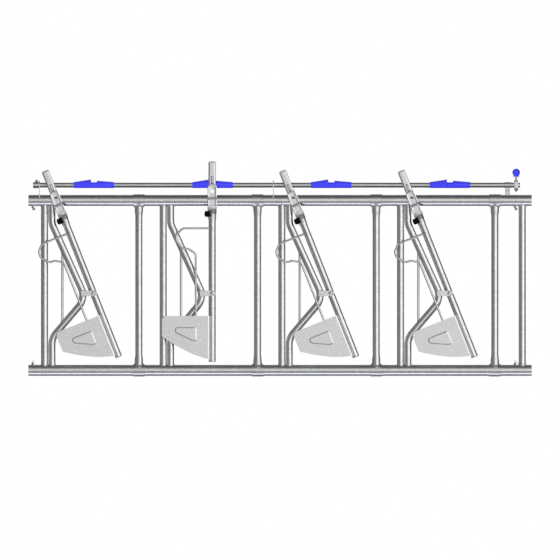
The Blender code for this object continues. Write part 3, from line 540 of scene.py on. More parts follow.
# Finishes


class Signal:
    """A node's output that takes part in Python arithmetic."""

    def __init__(self, recipe, socket):
        self.recipe = recipe
        self.socket = socket

    def maths(self, operation, *values):
        return self.recipe.node("ShaderNodeMath", {"operation": operation}, dict(enumerate(values)))

    def __add__(self, other):
        return self.maths("ADD", self, other)

    __radd__ = __add__

    def __sub__(self, other):
        return self.maths("SUBTRACT", self, other)

    def __rsub__(self, other):
        return self.maths("SUBTRACT", other, self)

    def __mul__(self, other):
        return self.maths("MULTIPLY", self, other)

    __rmul__ = __mul__

    def __truediv__(self, other):
        return self.maths("DIVIDE", self, other)

    def __abs__(self):
        return self.maths("ABSOLUTE", self)


class Recipe:
    """The node tree of one material or of the world."""

    def __init__(self, tree):
        self.tree = tree

    def node(self, kind, settings=None, inputs=None, output=0):
        """Add a node, set it up, then give its sockets values or links."""
        made = self.tree.nodes.new(kind)
        for name, value in (settings or {}).items():
            if name == "stops":
                for place, tone in value[2:]:
                    made.color_ramp.elements.new(place)
                for element, (place, tone) in zip(made.color_ramp.elements, sorted(value)):
                    element.position = place
                    element.color = (*tone, 1)
            else:
                setattr(made, name, value)
        for name, value in (inputs or {}).items():
            self.fill(made.inputs[name], value)
        return Signal(self, made.outputs[output]) if made.outputs else made

    def fill(self, socket, value):
        """Link a signal to a socket, or set the socket's own value."""
        if isinstance(value, Signal):
            self.tree.links.new(value.socket, socket)
        elif socket.type == "RGBA" and len(value) == 3:
            socket.default_value = (*value, 1)
        else:
            socket.default_value = value

    def noise(self, where, scale, detail=2.0, roughness=0.5):
        return self.node("ShaderNodeTexNoise", None, {
            "Vector": where, "Scale": scale, "Detail": detail, "Roughness": roughness})

    def blend(self, mask, first, second):
        """A colour between two, by a mask."""
        return self.node("ShaderNodeMix", {"data_type": "RGBA"}, {0: mask, 6: first, 7: second}, 2)

    def spread(self, signal, low, high, way="LINEAR"):
        """A signal's range moved to 0 to 1, and held there."""
        return self.node("ShaderNodeMapRange", {"interpolation_type": way}, {
            "Value": signal, "From Min": low, "From Max": high, "To Min": 0.0, "To Max": 1.0})

    def dress(self, surface, base, rough, strength, distance, height):
        """Give a shader its colour, its roughness and its bump."""
        bump = self.node("ShaderNodeBump", None, {
            "Strength": strength, "Distance": distance, "Height": height})
        for name, value in (("Base Color", base), ("Roughness", rough), ("Normal", bump)):
            self.fill(surface.inputs[name], value)


def shader(name, metallic, constants=None):
    """A new material with its recipe, its shader node and the object's coordinates."""
    material = bpy.data.materials.new(name)
    material.use_nodes = True
    surface = material.node_tree.nodes["Principled BSDF"]
    for socket, value in {"Metallic": metallic, **(constants or {})}.items():
        surface.inputs[socket].default_value = value
    recipe = Recipe(material.node_tree)
    return material, recipe, surface, recipe.node("ShaderNodeTexCoord", output=3)


def tinted(tone, factor):
    """A colour made lighter or darker."""
    return tuple(min(1.0, part * factor) for part in tone)


def zinc(name, tone, metallic, roughness, grain, spangle, dents):
    """Hot-dip zinc: spangle in soft grains, slow drifts of tone, a fine grain and faint dents."""
    material, recipe, surface, where = shader(name, metallic)
    drift = recipe.noise(where, 9.0, 3.0)
    warped = recipe.node("ShaderNodeVectorMath", {"operation": "MULTIPLY_ADD"}, {
        0: recipe.noise(where, 60.0, 2.0), 1: (0.006, 0.006, 0.006), 2: where})
    grains = recipe.node("ShaderNodeTexVoronoi", None, {"Vector": warped, "Scale": 1 / grain}, 1)
    level = recipe.node("ShaderNodeSeparateColor", None, {"Color": grains})
    fine = recipe.noise(where, 420.0, 3.0, 0.6)
    mask = recipe.spread(0.55 * level + 0.30 * drift + 0.15 * fine, 0.2, 0.8)
    base = recipe.blend(mask, tinted(tone, 1 - spangle), tinted(tone, 1 + spangle))
    rough = roughness + 0.08 * (fine - 0.5) + 0.07 * (drift - 0.5) + 0.03 * (level - 0.5)
    height = 0.12 * fine + 1.0 * recipe.noise(where, 34.0, 2.0) + 0.10 * level
    recipe.dress(surface, base, rough, dents, 0.0006, height)
    return material


def moulded(name, tone):
    """Moulded plastic: even colour with faint flow clouds, a fine eggshell skin and scattered dusty scuffs."""
    material, recipe, surface, where = shader(name, 0.0, {"IOR": 1.47})
    cloud = recipe.noise(where, 26.0, 3.0)
    scuffs = recipe.spread(recipe.noise(where, 140.0, 5.0, 0.7), 0.58, 0.72)
    base = recipe.blend(cloud, tinted(tone, 0.93), tinted(tone, 1.06))
    base = recipe.blend(0.10 * scuffs, base, (0.30, 0.32, 0.75))
    rough = 0.26 + 0.10 * (cloud - 0.5) + 0.08 * scuffs
    recipe.dress(surface, base, rough, 0.12, 0.0003, recipe.noise(where, 1500.0, 2.0))
    return material


def rubbery(name, tone):
    """Black rubber with a matt, slightly worn skin."""
    material, recipe, surface, where = shader(name, 0.0, {"IOR": 1.5, "Specular IOR Level": 0.12})
    dust = recipe.noise(where, 55.0, 4.0, 0.6)
    base = recipe.blend(recipe.spread(dust, 0.50, 0.85), tone, (0.008, 0.008, 0.008))
    recipe.dress(surface, base, 0.80 + 0.16 * (dust - 0.5), 0.35, 0.0004, recipe.noise(where, 900.0, 3.0))
    return material


def make_finishes():
    """All materials, by the record's slot."""
    tones = bpy.context.scene.headlock_finishes
    made = {name: zinc(name, *rest) for name, *rest in (
        ("galvanised_tube", tones.galvanised, 1.0, 0.20, 0.014, tones.spangle, 0.05),
        ("galvanised_casting", tones.casting, 1.0, 0.26, 0.006, tones.spangle, 0.15),
        ("pressed_sheet", tones.sheet, 0.95, 0.26, 0.010, tones.spangle * 0.35, 0.06),
        ("plated_fastener", tones.plated, 1.0, 0.26, 0.003, tones.spangle * 0.4, 0.05),
        # Rough, dull zinc whose dark tone is painted shade under the forks' base plates; the rod bosses share that
        # tone.
        ("dull_collar", tones.collar, 1.0, 0.55, 0.004, tones.spangle, 0.30),
    )}
    made["blue_plastic"] = moulded("blue_plastic", tones.blue)
    made["black_rubber"] = rubbery("black_rubber", tones.rubber)
    return made


def piece(name, shape, body, slot, node=None, smooth=38.0, finish=None):
    """A finished piece on a body, which stands for a node, or for the one with its own name."""
    made = thing(name, shape)
    made.data.shade_smooth()
    made.data.set_sharp_from_angle(angle=math.radians(smooth))
    made.data.materials.append(FINISHES[finish or slot])
    made.modifiers.new("even_shading", "WEIGHTED_NORMAL").keep_sharp = True
    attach(made, body)
    node = node or name.removesuffix("_fine")
    if node in frame["nodes"]:
        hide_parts(node)


def on_frame(name, shape, slot, *matrices):
    """A piece of the fixed frame, of a shape moved by some matrices."""
    piece(name, placed(shape, *matrices), "panel_frame", slot)


def middle_x(node):
    """Middle of a CAD node along X."""
    low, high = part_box(node)
    return (low.x + high.x) / 2


def pivot(place):
    """The pivot of a place."""
    return Vector(JOINTS[f"gate_{place}_swing"]["pos_m"])


def stance(place):
    """Matrix that leans and moves a gate's own pieces to their place."""
    way = Vector(JOINTS[f"tooth_{place}_drop"]["axis"])
    return Matrix.Translation(pivot(place)) @ Matrix.Rotation(math.atan2(way.x, way.z), 4, "Y")


# The fixed frame


def rail_clamp(x, side, sizes, with_screw):
    """A welded nut on a rail, or its square-headed screw, before the rail's height."""
    seat = sizes.rail_radius - 0.0008
    reach = sizes.rail_radius + 0.0127
    thread, start, nut_across, bead_ring = 0.006, 0.024, 0.026, 0.0145
    if with_screw:
        cap = placed(head(4, 0.015, 0.0115, chamfer=0.0010), shift(z=reach + 0.0010), turn(11, "Z"))
        shape = joined(screw(thread, start, reach + 0.0020, 0.00175), cap)
    else:
        ring = [(bx, by, saddle(by, sizes.rail_radius)) for bx, by in circle(20, bead_ring)]
        shape = joined(nut(nut_across, reach - seat, thread + 0.0001, seat), weld(ring, 0.0022))
    return placed(shape, shift(x=x), turn(0 if side > 0 else 180, "X"))


class HEADLOCK_OT_rails(bpy.types.Operator):
    """Add both rails with their welded nuts, and the clamp screws"""
    bl_idname = "headlock.rails"
    bl_label = "Rails and clamp screws"

    def execute(self, context):
        sizes = context.scene.headlock_frame
        half = (RAIL_HIGH.x - RAIL_LOW.x) / 2
        insets = (-half + 0.0318, half - 0.0937)
        number = 0
        for name, height, side in (("bottom_rail", 0.0, 1), ("top_rail", sizes.rail_spacing, -1)):
            bore = sizes.rail_radius - sizes.rail_wall
            rail = eased_tube(-half, half, bore, sizes.rail_radius, 0.0007, 72)
            shape = joined(rail, *(rail_clamp(x, side, sizes, False) for x in insets))
            on_frame(f"{name}_fine", shape, "galvanised_tube", shift(z=height))
            for x in insets:
                number += 1
                shape = rail_clamp(x, side, sizes, True)
                on_frame(f"clamp_screw_{number}", shape, "plated_fastener", shift(z=height))
        return {"FINISHED"}


class HEADLOCK_OT_posts(bpy.types.Operator):
    """Add the side posts, divider posts and end post"""
    bl_idname = "headlock.posts"
    bl_label = "Posts"

    def execute(self, context):
        sizes = context.scene.headlock_frame
        high = sizes.rail_spacing
        names = [f"{kind}_post_{place}" for kind in ("side", "divider") for place in PLACES]
        for name in names + ["end_post"]:
            x = middle_x(name)
            tube = bar_along(((0, 0), (0, high)), sizes.tube_radius, 40, wall=sizes.tube_wall)
            parts = [placed(coped(tube, 0.0, high, sizes.rail_radius), shift(x=x))]
            if not name.startswith("divider"):
                parts += [saddle_weld(x, z, side, sizes) for z, side in ((0.0, 1), (high, -1))]
            on_frame(f"{name}_fine", joined(*parts), "galvanised_tube")
        return {"FINISHED"}


def tee_shape(sizes):
    """A cast tee about the rail's axis: a ring and a tapering collar that flares into it."""
    outer = sizes.rail_radius + TRIM + sizes.tee_wall
    sleeve = eased_ring(-sizes.tee_half, sizes.tee_half, sizes.rail_radius + TRIM, outer, 0.0010, 64, "X")

    bore = sizes.tube_radius + TRIM
    collar = bore + sizes.tee_wall
    top = sizes.tee_reach
    taper, lip, flare = 0.024, 0.029, 0.0100
    outline = [(outer * 0.5, bore), (top, bore), (top, bore + 0.0003), (top - taper, collar - 0.0003),
               (top - lip, collar)]
    outline += arc((outer + flare, collar + flare * 0.9), (-flare, -flare * 0.9), (0, 20, 40, 60, 75, 90))
    outline += [(outer * 0.5, collar + flare * 0.9)]
    stem = turned(outline, 56)
    for vert in stem.verts:
        if vert.co.z < top - lip - 0.0005:
            vert.co.z -= outer - saddle(vert.co.y, outer)
    return joined(sleeve, stem)


class HEADLOCK_OT_tees(bpy.types.Operator):
    """Add the cast tees that join the divider posts to the rails"""
    bl_idname = "headlock.tees"
    bl_label = "Tees"

    def execute(self, context):
        sizes = context.scene.headlock_frame
        shape = tee_shape(sizes)
        for place in PLACES:
            x = middle_x(f"divider_post_{place}")
            for name, height, flip in (("lower_tee", 0.0, 0), ("upper_tee", sizes.rail_spacing, 180)):
                on_frame(f"{name}_{place}_fine", shape.copy(), "galvanised_casting",
                         shift(x, 0, height), turn(flip, "X"))
        return {"FINISHED"}


def pivot_plate(sizes):
    """The front pivot plate, welded to the neck tube at its left end."""
    half, left, right = sizes.plate_half, sizes.plate_left, 0.0206
    corner, end = 0.003, half * 0.98
    outline = [(left, -half, corner), (right, -half, end), (right, half, end), (left, half, corner)]
    plate = thickened(flat(outline, (0, 0, 0.0083)), sizes.plate_thick, 0.0007)
    placed(plate, shift(y=-(sizes.tube_radius + PLAY + sizes.plate_thick)))
    deep = -sizes.tube_radius * 0.93
    side = [(left, deep, z * half / 4) for z in range(-4, 5)]
    over = [(left + 0.0042 * i, deep - 0.0008, half) for i in range(1, 8)]
    under = [(x, y, -z) for x, y, z in over]
    return joined(plate, weld(side + over + under, sizes.weld_size))


def neck_shape(sizes, high):
    """A bent tube with its filler rod and pivot plates, about its pivot."""
    low, upper = -high, sizes.rail_spacing - high
    left, point_x, point_z = sizes.neck_x, sizes.neck_point_x, sizes.neck_point_z
    corners = ((left, low), (left, sizes.neck_lower), (point_x, point_z),
               (left, sizes.neck_upper), (left, upper))
    tube = bar_along(corners, sizes.tube_radius, 40, sizes.neck_bend, 10, sizes.tube_wall)
    coped(tube, low, upper, sizes.rail_radius)
    beads = [saddle_weld(left, z, side, sizes) for z, side in ((low, 1), (upper, -1))]
    ends = []
    for bend, side in ((sizes.neck_upper, -1), (sizes.neck_lower, 1)):
        slope = (point_z - bend) / (point_x - left)
        end = bend + slope * (sizes.filler_x - left)
        ends.append((sizes.filler_x, end))
        beads.append(weld([(
            sizes.filler_x + x, y,
            end + slope * x + side * saddle(y, sizes.tube_radius) * math.hypot(1, slope),
        ) for x, y in circle(14, sizes.filler_radius)], 0.0024))
    filler = bar_along(ends[::-1], sizes.filler_radius, 24)
    front = pivot_plate(sizes)
    rear = reflected(front)
    return joined(tube, filler, front, rear, *beads)


def at_pivots(name, shape, slot):
    """One copy of a shape at every pivot, as pieces of the frame."""
    for place in PLACES:
        on_frame(f"{name}_{place}_fine", shape.copy(), slot, Matrix.Translation(pivot(place)))


class HEADLOCK_OT_necks(bpy.types.Operator):
    """Add the bent neck tubes with their filler rods and pivot plates"""
    bl_idname = "headlock.necks"
    bl_label = "Neck tubes"

    def execute(self, context):
        at_pivots("neck_tube", neck_shape(context.scene.headlock_frame, pivot(1).z), "galvanised_tube")
        return {"FINISHED"}


def through_bolt(cap, shank, rear, seat):
    """A bolt along Y, with its head and its nut seated as far in front as behind."""
    return placed(joined(placed(cap, turn(180, "X"), shift(z=seat)), shank, placed(rear, shift(z=seat))),
                  turn(-90, "X"))


def pivot_bolt(sizes):
    """A bolt through the pivot, with a washer under its head and its nut."""
    seat = sizes.tube_radius + PLAY + sizes.plate_thick + TRIM
    out, bore = 0.0150, 0.0082
    cap = joined(washer(out, bore, 0.0016), placed(dome_head(0.0125, 0.0066), shift(z=0.0014)))
    rear = nut(0.0238, 0.0118, 0.0079, 0.0016, (out, bore, 0.0018))
    return through_bolt(cap, screw(0.0080, -seat, seat + 0.0150, 0.002), rear, seat)


class HEADLOCK_OT_pivot_bolts(bpy.types.Operator):
    """Add the bolts that the gates swing on"""
    bl_idname = "headlock.pivot_bolts"
    bl_label = "Pivot bolts"

    def execute(self, context):
        at_pivots("pivot_bolt", pivot_bolt(context.scene.headlock_frame), "plated_fastener")
        return {"FINISHED"}


def bearing_plate(sizes, bar):
    """An upright plate across the upper rail with the bar's bore, about the rail's axis."""
    half, rail = bar.bearing_half, sizes.rail_radius
    rise = BAR_Z - sizes.rail_spacing
    shape = flat([(-half, rail * 0.55, 0), (half, rail * 0.55, 0), (half, rise + half, half * 0.99),
                  (-half, rise + half, half * 0.99)], (0, rise, bar.radius + PLAY))
    for i in range(-5, 6):
        sliced(shape, (half * i / 6, 0, 0), (1, 0, 0))
    for vert in shape.verts:
        if vert.co.z < rail * 0.56:
            vert.co.z = saddle(vert.co.x, rail) + TRIM
    thickened(shape, bar.bearing_thick, 0.0006)
    placed(shape, turn(90, "Z"), shift(y=-bar.bearing_thick / 2))
    row = [half * i / 8 for i in range(-8, 9)]
    return joined(shape, *(weld([(x, y, saddle(y, rail)) for y in row], 0.0026)
                           for x in (-bar.bearing_thick / 2, bar.bearing_thick / 2)))


def end_bearing(sizes, bar):
    """The bored sleeve on its foot at the bar's right end, about the rail's axis."""
    rise, rail = BAR_Z - sizes.rail_spacing, sizes.rail_radius
    low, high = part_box("end_bearing")
    half = (high.x - low.x) / 2
    sleeve = eased_ring(-half, half, bar.radius + PLAY, bar.radius + 0.0030, 0.0008, 48, "X")
    foot_x, foot_y = 0.01415, 0.015
    foot = block((-foot_x, -foot_y, rail * 0.85), (foot_x, foot_y, rise - bar.radius * 0.98), 0.0012)
    row = [i / 7 for i in range(-7, 8)]
    sides = [(side * foot_x, foot_y * y, saddle(foot_y * y, rail)) for side in (-1, 1) for y in row]
    ends = [(foot_x * x, side * foot_y, saddle(foot_y, rail)) for side in (-1, 1) for x in row]
    return joined(placed(sleeve, shift(z=rise)), foot, weld(sides, 0.0026), weld(ends, 0.0026))


class HEADLOCK_OT_bearings(bpy.types.Operator):
    """Add the two bearing plates and the end bearing of the release bar"""
    bl_idname = "headlock.bearings"
    bl_label = "Bearings"

    def execute(self, context):
        sizes, bar = context.scene.headlock_frame, context.scene.headlock_bar
        for name, slot, build in (
            ("left_bearing_plate", "pressed_sheet", bearing_plate),
            ("middle_bearing_plate", "pressed_sheet", bearing_plate),
            ("end_bearing", "galvanised_casting", end_bearing),
        ):
            on_frame(f"{name}_fine", build(sizes, bar), slot, shift(middle_x(name), 0, sizes.rail_spacing))
        return {"FINISHED"}


# The release bar


def on_bar(name, shape, slot, x=0.0, smooth=38.0):
    """A piece of the release bar, of a shape about the bar's axis."""
    piece(name, placed(shape, shift(x, 0, BAR_Z)), "release_bar", slot, smooth=smooth)


class HEADLOCK_OT_release_bar(bpy.types.Operator):
    """Add the release bar with its stop collar and set screw"""
    bl_idname = "headlock.release_bar"
    bl_label = "Release bar"

    def execute(self, context):
        bar = context.scene.headlock_bar
        left, right = (corner.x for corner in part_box("release_bar"))
        tube = eased_tube(left, right, bar.radius - bar.wall, bar.radius, 0.0006, 48)
        on_bar("release_bar_fine", tube, "galvanised_tube")

        left, right = (corner.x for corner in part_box("stop_collar"))
        rim = 0.0185
        ring = eased_ring(left, right, bar.radius + TRIM, rim, 0.0010, 48, "X")
        on_bar("stop_collar_fine", ring, "galvanised_tube")

        cap = placed(head(6, 0.0147, 0.0132), shift(z=rim + TRIM), turn(17, "Z"))
        shape = joined(screw(0.004, bar.radius, rim + 0.001, 0.00125), cap)
        on_bar("stop_screw_fine", shape, "plated_fastener", middle_x("stop_screw"))
        return {"FINISHED"}


def wedge(left, right, left_radius, right_radius, root, steps, ease):
    """A quarter of a flared ring from the bar's front round to its top, with rounded edges."""
    shape = bmesh.new()
    face = shape.faces.new([shape.verts.new((x, -out, 0)) for x, out in (
        (left, root), (right, root), (right, right_radius), (left, left_radius))])
    swung(shape, [face], (0, 0, 0), (-1, 0, 0), math.pi / 2, steps)
    return softened(tidy(shape), ease, 3, 50)


def catch_shape(bar):
    """A moulded catch on the bar's axis: sleeve, faceted ramp, notch, round heel and end rings."""
    bore, out = bar.radius + TRIM, bar.catch_sleeve
    left, right = bar.catch_left, bar.catch_right
    root = (bore + out) / 2
    ramp = wedge(left, bar.notch_left, bar.end_radius, bar.ramp_radius, root, 4, 0.0020)
    heel = wedge(bar.notch_right, right, bar.heel_radius, bar.end_radius, root, 12, 0.0016)
    rings = [placed(washer(out + 0.0009, bore, 0.0024), shift(x=x), turn(90, "Y"))
             for x in (bar.notch_left, bar.notch_right - 0.0024)]
    boss = placed(turned([(0, 0), (0, 0.0062), (0.0016, 0.0058), (0.0016, 0)], 28),
                  shift(x=bar.screw_x), turn(-90, "X"), shift(z=out - 0.0006))
    return joined(eased_ring(left, right, bore, out, 0.0006, 48, "X"), ramp, heel, boss, *rings)


class HEADLOCK_OT_catches(bpy.types.Operator):
    """Add the blue catches and the screws that hold them on the bar"""
    bl_idname = "headlock.catches"
    bl_label = "Catches"

    def execute(self, context):
        bar = context.scene.headlock_bar
        shape = catch_shape(bar)
        fixing = placed(joined(dome_head(0.0046, 0.0026), screw(0.0028, -0.006, 0.0005, 0.001)),
                        shift(x=bar.screw_x), turn(-90, "X"), shift(z=bar.catch_sleeve + 0.0010))
        for place in PLACES:
            on_bar(f"catch_{place}_fine", shape.copy(), "blue_plastic", pivot(place).x, 44)
            on_bar(f"catch_screw_{place}", fixing.copy(), "plated_fastener", pivot(place).x)
        return {"FINISHED"}


class HEADLOCK_OT_handle(bpy.types.Operator):
    """Add the handle block, its stud with nuts, and the ball knob"""
    bl_idname = "headlock.handle"
    bl_label = "Handle"

    def execute(self, context):
        bar = context.scene.headlock_bar
        low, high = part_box("handle_block")
        x, half, bore = middle_x("handle_block"), (high - low) / 2, bar.radius + TRIM
        collar = turned([
            (-half.x - 0.0010, bore), (-half.x - 0.0010, bar.radius + 0.0020),
            (-half.x + 0.002, bar.radius + 0.0026), (-half.x + 0.002, bore),
        ], 40, "X")
        on_bar("handle_block_fine", joined(block(-half, half, 0.0016), collar), "galvanised_tube", x)

        seat = half.z + TRIM
        under = placed(head(6, 0.0206, 0.0145, bore=0.0054), shift(z=-seat - 0.0145), turn(20, "Z"))
        cone = turned([(seat + along, out) for along, out in (
            (0, 0.0054), (0, 0.0118), (0.0008, 0.0121), (0.0064, 0.0121), (0.0076, 0.0115),
            (0.0138, 0.0075), (0.0144, 0.0064), (0.0144, 0.0054))], 36)
        stud = joined(screw(0.0056, -0.0395, bar.knob_base + 0.021, 0.00175), under, cone)
        on_bar("handle_stud_fine", stud, "plated_fastener", x)

        base, centre, ball = bar.knob_base, bar.knob_centre, bar.knob_radius
        waist = 0.0155
        start = 3 - math.degrees(math.asin(math.sqrt(ball ** 2 - waist ** 2) / ball))
        outline = [(base + TRIM, 0), (base + TRIM, 0.0162), (base + 0.0010, 0.0171),
                   (base + 0.0026, 0.0171), (base + 0.0040, 0.0163)]
        outline += arc((centre, 0), (ball, ball), [start + (90 - start) * i / 18 for i in range(18)])
        knob = turned(outline + [(centre + ball, 0)], 48)
        seam = placed(washer(ball + 0.00025, ball - 0.002, 0.0008), shift(z=centre - 0.0004))
        on_bar("ball_knob_fine", joined(knob, seam), "blue_plastic", x, 60)
        return {"FINISHED"}


# The gates


def gate_tube(sizes, gate):
    """The gate's tube with its closed, rounded foot."""
    radius, low, ease = sizes.tube_radius, gate.tube_bottom, 0.0055
    top = gate.base_top - 0.0050
    foot = arc((low + ease, radius - ease), (ease, ease), (-70, -50, -30, -15, 0))
    return turned([(low, 0), (low, radius - ease), *foot, (top, radius), (top, 0)], 48)


def channel(gate):
    """The folded channel over the rail and the bar, with rolled sides."""
    outer = gate.inside + STRAP
    half, roll, deep, bend = gate.upper_half, 0.0100, 0.0078, 0.0085
    start, corner = gate.arch_top - 0.050, gate.fork_top - bend
    section = arc((deep, half - roll), (-deep, roll), range(0, 91, 18))
    section += [(depth, -x) for depth, x in section[::-1]]
    shape = bmesh.new()
    points = [shape.verts.new((x, -outer + depth, start)) for depth, x in section]
    edges = [shape.edges.new(pair) for pair in zip(points, points[1:])]
    edges = pushed(shape, edges, Vector((0, 0, corner - start)))
    for side, onward in ((-1, (0, 2 * (outer - bend), 0)), (1, (0, 0, start - corner))):
        edges = swung(shape, edges, (0, side * (outer - bend), corner), (-1, 0, 0), math.pi / 2, 6)
        edges = pushed(shape, edges, Vector(onward))
    bmesh.ops.remove_doubles(shape, verts=shape.verts, dist=1e-6)
    inside = Vector((0, 0, start + 0.08))
    return walled(shape, STRAP, lambda face: face.calc_center_median() - inside)


def cheek(gate):
    """The front lower cheek: a dished sheet with a round top, a raised rim, a hole and a cross rib."""
    thick, rib, rib_half, lean = 0.0026, gate.rib_height, 0.0095, gate.lean_height
    outer, half, foot = gate.inside + STRAP + thick, gate.lower_half, gate.base_top - 0.0040
    low, top, arch = foot - 0.016, gate.arch_top, half * 0.95
    shape = flat([(-half, low, 0), (half, low, 0), (half, top, arch), (-half, top, arch)], steps=12)
    middle = dished(shape, ((0.0008, 0.0004), (0.0016, 0.0010), (0.0018, 0.0006), (0.0018, -0.0003),
                            (0.0020, -0.0012), (0.0018, -0.0007)))
    rim = edges_of(middle)
    bmesh.ops.delete(shape, geom=middle, context="FACES_ONLY")
    hole = circle_at(shape, 0, rim[0].verts[0].co.y, gate.hole_height, gate.hole_radius, 36)
    filled_in(shape, rim + edges_of(hole))
    sliced(shape, (0, 0, foot), (0, 0, -1), clear_outer=True)
    for height in [rib + rib_half * i / 5 for i in range(-5, 6)] + [
            lean + lift for lift in (-0.006, -0.002, 0.002, 0.006)]:
        sliced(shape, (0, 0, height), (0, 0, 1))
    inward = (outer - gate.foot_inside - FOOT_WALL) / (lean - gate.base_top)
    for vert in shape.verts:
        from_rib = abs(vert.co.z - rib) / rib_half
        if from_rib < 1:
            vert.co.y -= 0.0042 * (1 - from_rib) + 0.5 * min(0.0, vert.co.y + 0.0016)
        below = lean - vert.co.z
        if below > -0.006:
            ease = min(1.0, (below + 0.006) / 0.012)
            vert.co.y += max(0.0, below) * inward + 0.0008 * ease * (1 - ease)
    return placed(walled(shape, thick, lambda face: FRONT), shift(y=-outer + 0.0012))


def slot_cutter(gate):
    """A long round cutter for the slot in the front web."""
    cutter = bmesh.new()
    half, middle = gate.slot_half, (gate.slot_low + gate.slot_high) / 2
    for vert in circle_at(cutter, 0, -gate.inside - 0.010, middle, half, cap=True):
        vert.co.z += math.copysign((gate.slot_high - gate.slot_low) / 2 - half, vert.co.z - middle)
    return tidy(thickened(cutter, 0.020))


def fork_shape(sizes, gate):
    """Channel with its slot and lock hole, both lower cheeks, base plate and the beads that join them."""
    pin = placed(plug(-0.06, 0.06, gate.hole_radius, 32), shift(z=gate.hole_height), turn(-90, "X"))
    strap = cut_away(channel(gate), slot_cutter(gate), pin)
    front = cheek(gate)
    rear = reflected(front)
    half, depth, top = gate.lower_half, gate.foot_inside + FOOT_WALL, gate.base_top
    base = block((-half, -depth, top - 0.0047), (half, depth, top), 0.0008)
    row = [half * 0.92 * i / 9 for i in range(-9, 10)]
    return joined(strap, front, rear, base, *(
        weld([(x, side * (depth + 0.0006), top - 0.0030) for x in row], 0.0024) for side in (-1, 1)))


def sleeve_shape(sizes, gate):
    """The thin sleeve on the gate's tube."""
    bore, out = sizes.tube_radius + TRIM, sizes.tube_radius + 0.0023
    low, high, ease = gate.sleeve_bottom, gate.collar_bottom + 0.002, 0.0008
    return turned([(low, bore), (high, bore), (high, out), (low + ease, out), (low, out - ease)], 56)


def collar_shape(sizes, gate):
    """The collar under the fork's base plate."""
    return eased_ring(gate.collar_bottom, gate.base_top - 0.0047, sizes.tube_radius + TRIM,
                      sizes.tube_radius + 0.0048, 0.0012, 56, top=0.0024)


def tooth_shape(sizes, gate):
    """The falling tooth behind the front cheek, with its round-fronted key in the slot."""
    height, end = gate.tooth_height, gate.key_length / 2
    wide, tall, front, back = 0.013, 0.008, -0.0350, -0.020
    body = block((-wide, front, height - tall), (wide, back, height + tall), 0.0022)
    radius = gate.slot_half - PLAY
    outline = [(-end, 0), *arc((radius - end, 0), (radius, radius), range(-75, 1, 15)),
               *arc((end - radius, 0), (radius, radius), range(0, 76, 15)), (end, 0)]
    key = placed(turned(outline, 32), shift(0, -gate.inside + 0.0052, gate.slot_high - 0.0010 - end))
    return joined(body, key)


def buffer_shape(sizes, gate):
    """The rubber stop: a rounded block hollowed to the collar."""
    left, right, front, back = -0.046, -0.010, -0.031, 0.012
    low, high = gate.collar_bottom - 0.017, gate.collar_bottom + 0.019
    body = block((left, front, low), (right, back, high), 0.0110)
    return cut_away(body, plug(low - 0.008, high + 0.016, sizes.tube_radius + 0.0051, 48))


def fork_bolt(sizes, gate):
    """The round-headed bolt through the sleeve and the tube, with its nut behind."""
    seat = sizes.tube_radius + 0.0020
    rear = nut(0.0130, 0.0062, 0.0039, 0.0013, (0.0085, 0.0042, 0.0014))
    bolt = through_bolt(dome_head(0.0086, 0.0046), screw(0.0040, -seat, seat + 0.0090, 0.00125), rear, seat)
    return placed(bolt, shift(z=gate.bolt_height))


ROD_CORNERS = ((0.0, 0.387), (-0.176, 0.387), (-0.213, 0.350), (-0.215, 0.316),
               (-0.176, 0.266), (-0.146, 0.266), (-0.0974, 0.237), (-0.0974, -0.1753))
PLATE_OUTLINE = (
    (-0.2828, -0.1353, 0), (0.0030, -0.1353, 0.002), (0.0030, -0.2053, 0.002), (-0.0040, -0.2053, 0),
    (-0.0040, -0.3320, 0), (0.0030, -0.3320, 0.002), (0.0030, -0.4000, 0.002), (-0.0160, -0.4000, 0.002),
    (-0.0247, -0.3910, 0), (-0.0939, -0.3755, 0.060), (-0.2292, -0.3057, 0.060),
    (-0.2989, -0.2557, 0.006), (-0.2989, -0.1544, 0.006),
)
EMBOSS_OUTLINE = ((-0.2226, -0.2015, 0.016), (-0.0922, -0.2015, 0.012), (-0.0922, -0.2862, 0.010),
                  (-0.1160, -0.2862, 0.008), (-0.2226, -0.2348, 0.013))
FOLDS = (-0.0245, -0.0238, -0.0231, -0.0168, -0.0162, -0.0085, -0.0075, -0.0052, -0.0030, -0.0008, 0.0014)


def rod_loop(sizes, gate):
    """The guard rod from the gate's tube round to the guard plate."""
    return placed(bar_along(ROD_CORNERS, gate.rod_radius, 20, 0.030), shift(y=gate.rod_y))


def joggle(x, plate_y, radius):
    """Depth of the guard sheet's face: flat, a slope, a steeper one, then round the tube's front."""
    run = x - FOLDS[0]
    if run <= 0:
        return plate_y
    slope, bend, steeper, second_fold = 0.46, 0.0014, 0.73, -0.0165
    sloped = slope * (run * run / (2 * bend) if run < bend else run - bend / 2)
    return min(plate_y + sloped + steeper * max(0.0, x - second_fold), -saddle(x, radius))


